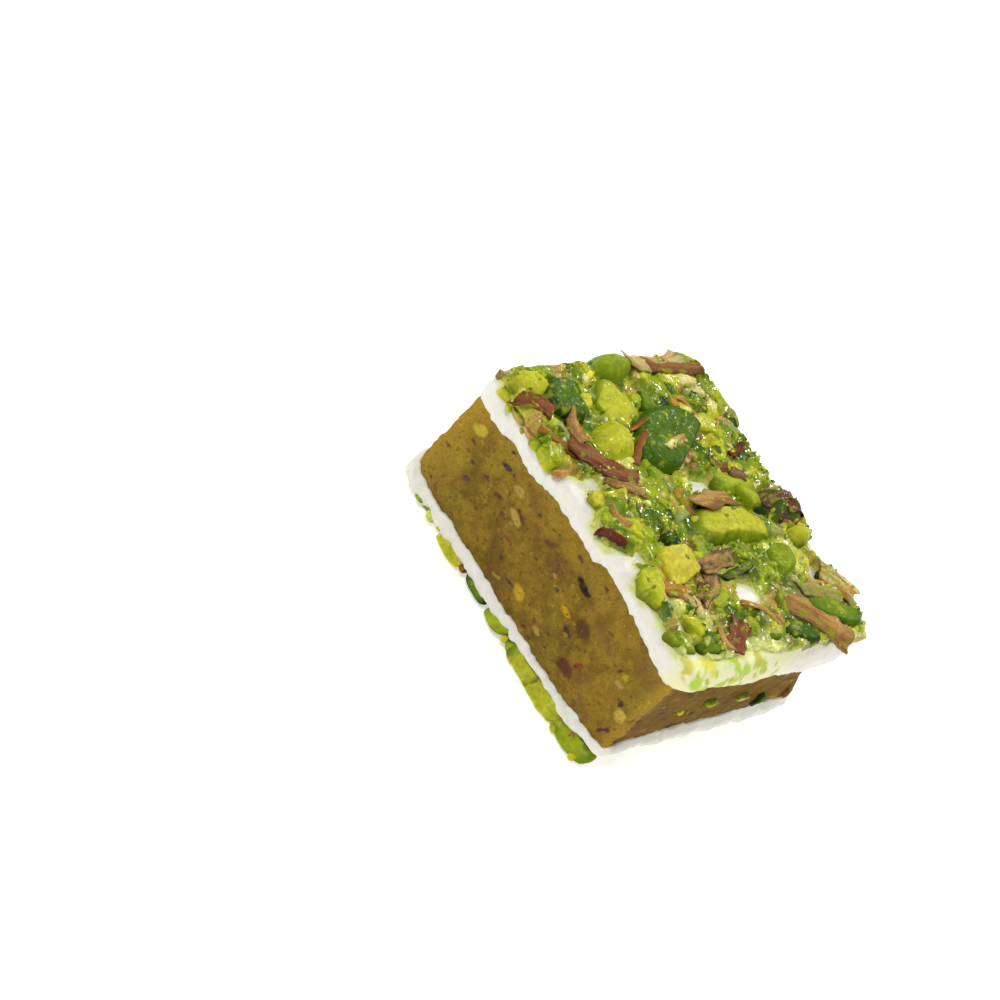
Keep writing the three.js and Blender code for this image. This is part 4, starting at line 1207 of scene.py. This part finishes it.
def crumbTree(material):
    tree = bpy.data.node_groups.new("crumb_scatter", "GeometryNodeTree")
    tree.interface.new_socket("Geometry", in_out="INPUT", socket_type="NodeSocketGeometry")
    tree.interface.new_socket("Geometry", in_out="OUTPUT", socket_type="NodeSocketGeometry")
    for label in scatter:
        kind = "NodeSocketInt" if label == "Seed" else "NodeSocketFloat"
        tree.interface.new_socket(label, in_out="INPUT", socket_type=kind)
    entry = addNode(tree, "NodeGroupInput")
    room = addNode(tree, "GeometryNodeInputNamedAttribute", {"data_type": "FLOAT", "Name": "room"})
    density = addNode(tree, "ShaderNodeMath", {"operation": "MULTIPLY"},
                      {0: (entry, "Density"), 1: (room, "Attribute")})
    spots = addNode(tree, "GeometryNodeDistributePointsOnFaces", links={
        "Mesh": (entry, "Geometry"), "Density": (density, "Value"), "Seed": (entry, "Seed")})
    grain = addNode(tree, "GeometryNodeMeshIcoSphere", {"Radius": 1.0, "Subdivisions": 1})
    draw = addNode(tree, "FunctionNodeRandomValue", {"data_type": "FLOAT", "Seed": 2})
    small = addNode(tree, "ShaderNodeMath", {"operation": "POWER", 1: 3.0}, {0: (draw, 1)})
    size = addNode(tree, "ShaderNodeMapRange", links={
        "Value": (small, "Value"), "To Min": (entry, "Smallest"), "To Max": (entry, "Largest")})
    slim = addNode(tree, "FunctionNodeRandomValue", {
        "data_type": "FLOAT_VECTOR", 0: (0.6, 0.5, 0.35), 1: (1.7, 1.1, 0.9), "Seed": 3})
    scale = addNode(tree, "ShaderNodeVectorMath", {"operation": "SCALE"},
                    {0: (slim, 0), "Scale": (size, "Result")})
    turn = addNode(tree, "FunctionNodeRandomValue", {
        "data_type": "FLOAT_VECTOR", 1: (6.28, 6.28, 6.28), "Seed": 4})
    copies = addNode(tree, "GeometryNodeInstanceOnPoints", links={
        "Points": (spots, "Points"), "Instance": (grain, "Mesh"), "Rotation": (turn, 0),
        "Scale": (scale, "Vector")})
    shade = addNode(tree, "FunctionNodeRandomValue", {"data_type": "FLOAT", "Seed": 6})
    shaded = addNode(tree, "GeometryNodeStoreNamedAttribute", {
        "data_type": "FLOAT", "domain": "INSTANCE", "Name": "shade",
    }, {"Geometry": (copies, "Instances"), "Value": (shade, 1)})
    real = addNode(tree, "GeometryNodeRealizeInstances", links={"Geometry": (shaded, "Geometry")})
    bumps = addNode(tree, "ShaderNodeTexNoise", {"Scale": 1 / (0.5 * mm), "Detail": 1.0})
    middle = addNode(tree, "ShaderNodeVectorMath", {"operation": "SUBTRACT", 1: (0.5, 0.5, 0.5)},
                     {0: (bumps, "Color")})
    offset = addNode(tree, "ShaderNodeVectorMath", {"operation": "SCALE"},
                     {0: (middle, "Vector"), "Scale": (entry, "Roughness")})
    rough = addNode(tree, "GeometryNodeSetPosition", links={
        "Geometry": (real, "Geometry"), "Offset": (offset, "Vector")})
    painted = addNode(tree, "GeometryNodeSetMaterial", {"Material": material},
                      {"Geometry": (rough, "Geometry")})
    addNode(tree, "NodeGroupOutput", links={"Geometry": (painted, "Geometry")})
    return tree


def scatterCrumbs(name, carrier, tree):
    # carrier is a bare piece with a "room" attribute, which the crumbs then take the place of
    modifier = carrier.modifiers.new("crumbs", "NODES")
    modifier.node_group = tree
    for item in tree.interface.items_tree:
        if item.in_out == "INPUT" and item.name in scatter:
            modifier[item.identifier] = scatter[item.name]
    result = carrier.evaluated_get(bpy.context.evaluated_depsgraph_get())
    mesh = bpy.data.meshes.new_from_object(result)
    mesh.name = name
    carrier.modifiers.clear()
    carrier.data = mesh
    carrier.name = name
    return carrier


# each nut of a group has its own seed, counted up from here
seeds = {"kernels": 1000, "bits": 2000, "skins": 3000, "under": 4000, "foot": 5000, "stuck": 6000,
         "edge": 7000}


def buildPieces():
    pieces = [
        (buildFilling(), "pistachio_filling", "paste"),
        (nougatLayer("upper_nougat_layer", True), "upper_nougat", "nougat"),
        (nougatLayer("lower_nougat_layer", False), "lower_nougat", "nougat"),
    ]
    print("paste and nougat ready")
    upperCoat, upperRoom, upperFlow = coatShape(True)
    lowerCoat, _, lowerFlow = coatShape(False)
    upperBits = nutsByRule(upperNuts, *spread["upper"])
    upperBits = [row for row in upperBits if coverAt(np.array([row[1]]), np.array([row[2]]))[0] > 0.5]
    lowerBits = nutsByRule(lowerNuts, *spread["lower"])
    kernels = placedNuts(upperNuts, True, seeds["kernels"])
    bits = joinShapes([placedNuts(upperBits, True, seeds["bits"]), sideBits(upperEdgeNuts, seeds["edge"])])
    below = placedNuts(lowerNuts + lowerBits, False, seeds["under"])
    below = joinShapes([below, sideBits(lowerEdgeNuts, seeds["foot"])])
    stuck = sideBits(pasteCrumbs, seeds["stuck"])
    skins = placedSkins(upperSkins, np.concatenate([upperCoat[0], kernels[0], bits[0]]), seeds["skins"])
    for name, (points, faces, tint), look, extra, node, slotName in (
        ("upper_ground_nuts", upperCoat, crumbLook, {"flow": upperFlow}, "upper_nougat", "nougat"),
        ("lower_ground_nuts", lowerCoat, crumbLook, {"flow": lowerFlow}, "lower_nougat", "nougat"),
        ("upper_kernels", kernels, kernelLook, None, "upper_nougat", "nougat"),
        ("upper_nut_bits", bits, kernelLook, None, "upper_nougat", "nougat"),
        ("upper_skins", skins, skinLook, None, "upper_nougat", "nougat"),
        ("lower_kernels", below, kernelLook, None, "lower_nougat", "nougat"),
        ("side_crumbs", stuck, kernelLook, None, "pistachio_filling", "paste"),
    ):
        pieces.append((addPiece(name, points, faces, look, tint, extra), node, slotName))
    print("nuts and skins ready", len(upperBits), len(lowerBits))
    crumbLoose = crumbMaterial()
    points, faces, _ = joinShapes([upperCoat, kernels, bits, skins])
    room = np.concatenate([upperRoom, np.full(len(points) - len(upperRoom), crumbPlace["share"])])
    room *= points[:, 2] > crumbPlace["lowest"]
    room *= smoothStep(0.1, 0.6, lumps(points, (1.0, 2.0, 91), (0.4, 0.7, 92)))
    carrier = addPiece("crumb_carrier", points, faces, crumbLoose, extra={"room": room})
    crumbs = scatterCrumbs("upper_loose_crumbs", carrier, crumbTree(crumbLoose))
    pieces.append((crumbs, "upper_nougat", "nougat"))
    print("crumbs ready", len(crumbs.data.polygons))
    for piece, node, slotName in pieces:
        print(piece.name, sum(len(face.vertices) - 2 for face in piece.data.polygons), "triangles")
        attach(piece, "root")
        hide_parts(node)


buildPieces()


# studio: a white sheet, a wide soft light and a camera turned as the photo sees the sweet

studio = {
    "floorSize": 6.0, "floorColour": "#f4f4f2", "floorGlow": 0.46, "skyStrength": 0.12,
    # lamps as direction, distance and width in metres and power in watts:
    # a soft key, then small ones that make the syrup glint
    "lamps": {
        "key_light": ((-0.15, -0.60, 0.75), 0.6, 0.30, 2.1),
        "back_glint": ((-0.45, 0.70, 0.60), 0.5, 0.07, 0.52),
        "side_glint": ((0.80, 0.10, 0.60), 0.5, 0.07, 0.75),
        "high_glint": ((-0.10, 0.35, 0.95), 0.5, 0.07, 0.55),
        "left_glint": ((-0.80, 0.10, 0.60), 0.5, 0.07, 0.32),
        "far_glint": ((0.10, 0.80, 0.55), 0.5, 0.07, 0.42),
    },
    "azimuth": 21.857, "elevation": 33.292, "roll": 45.586, "lens": 99.038, "sensor": 36.0, "nearest": 0.01,
    "cameraPlace": (85.57, -254.2, 177.39),  # mm from the block's middle
}


def floorMaterial():
    # White acrylic, evenly lit from below: a clean ground without a horizon
    material, tree = newMaterial("white_acrylic_sheet")
    place = addNode(tree, "ShaderNodeTexCoord")
    cloud = addNode(tree, "ShaderNodeTexNoise", {"Scale": 3.0}, {"Vector": (place, "Object")})
    rough = addNode(tree, "ShaderNodeMapRange", {"To Min": 0.5, "To Max": 0.6}, {"Value": (cloud, "Fac")})
    addSurface(tree, {
        "Base Color": rgba(studio["floorColour"]), "Emission Color": (1, 1, 1, 1),
        "Emission Strength": studio["floorGlow"],
    }, {"Roughness": (rough, "Result")})
    return material


def buildStudio():
    scene = bpy.context.scene
    half = studio["floorSize"] / 2
    corners = [(-half, -half, 0), (half, -half, 0), (half, half, 0), (-half, half, 0)]
    mesh = bpy.data.meshes.new("studio_floor")
    mesh.from_pydata(corners, [], [(0, 1, 2, 3)])
    floor = bpy.data.objects.new("studio_floor", mesh)
    scene.collection.objects.link(floor)
    mesh.materials.append(floorMaterial())

    world = bpy.data.worlds.new("studio_sky")
    world.use_nodes = True
    sky = world.node_tree.nodes["Background"].inputs
    sky["Color"].default_value = (1.0, 1.0, 1.0, 1.0)
    sky["Strength"].default_value = studio["skyStrength"]
    scene.world = world

    for name, (way, distance, width, power) in studio["lamps"].items():
        lamp = bpy.data.lights.new(name, "AREA")
        lamp.shape, lamp.size, lamp.energy = "DISK", width, power
        away = np.array(way) / np.linalg.norm(way)
        light = bpy.data.objects.new(name, lamp)
        light.matrix_world = facing(away * distance, away, 0.0)
        scene.collection.objects.link(light)

    azimuth, elevation = math.radians(studio["azimuth"]), math.radians(studio["elevation"])
    level = math.cos(elevation)
    back = np.array([math.sin(azimuth) * level, -math.cos(azimuth) * level, math.sin(elevation)])
    view = bpy.data.cameras.new("photo_camera")
    view.lens = studio["lens"]
    view.sensor_width = studio["sensor"]
    view.clip_start = studio["nearest"]
    camera = bpy.data.objects.new("photo_camera", view)
    camera.matrix_world = facing((np.array(studio["cameraPlace"]) + shift) * mm, back, studio["roll"])
    scene.collection.objects.link(camera)
    scene.camera = camera
    scene.view_settings.view_transform = "Standard"
    scene.view_settings.look = "None"


def facing(place, back, roll):
    right = np.cross((0, 0, 1), back)
    right /= np.linalg.norm(right)
    up = np.cross(back, right)
    angle = math.radians(roll)
    turnedRight = math.cos(angle) * right + math.sin(angle) * up
    turnedUp = math.cos(angle) * up - math.sin(angle) * right
    matrix = Matrix.Identity(4)
    for row in range(3):
        matrix[row][0], matrix[row][1], matrix[row][2] = turnedRight[row], turnedUp[row], back[row]
        matrix[row][3] = place[row]
    return matrix


buildStudio()
print("studio ready")
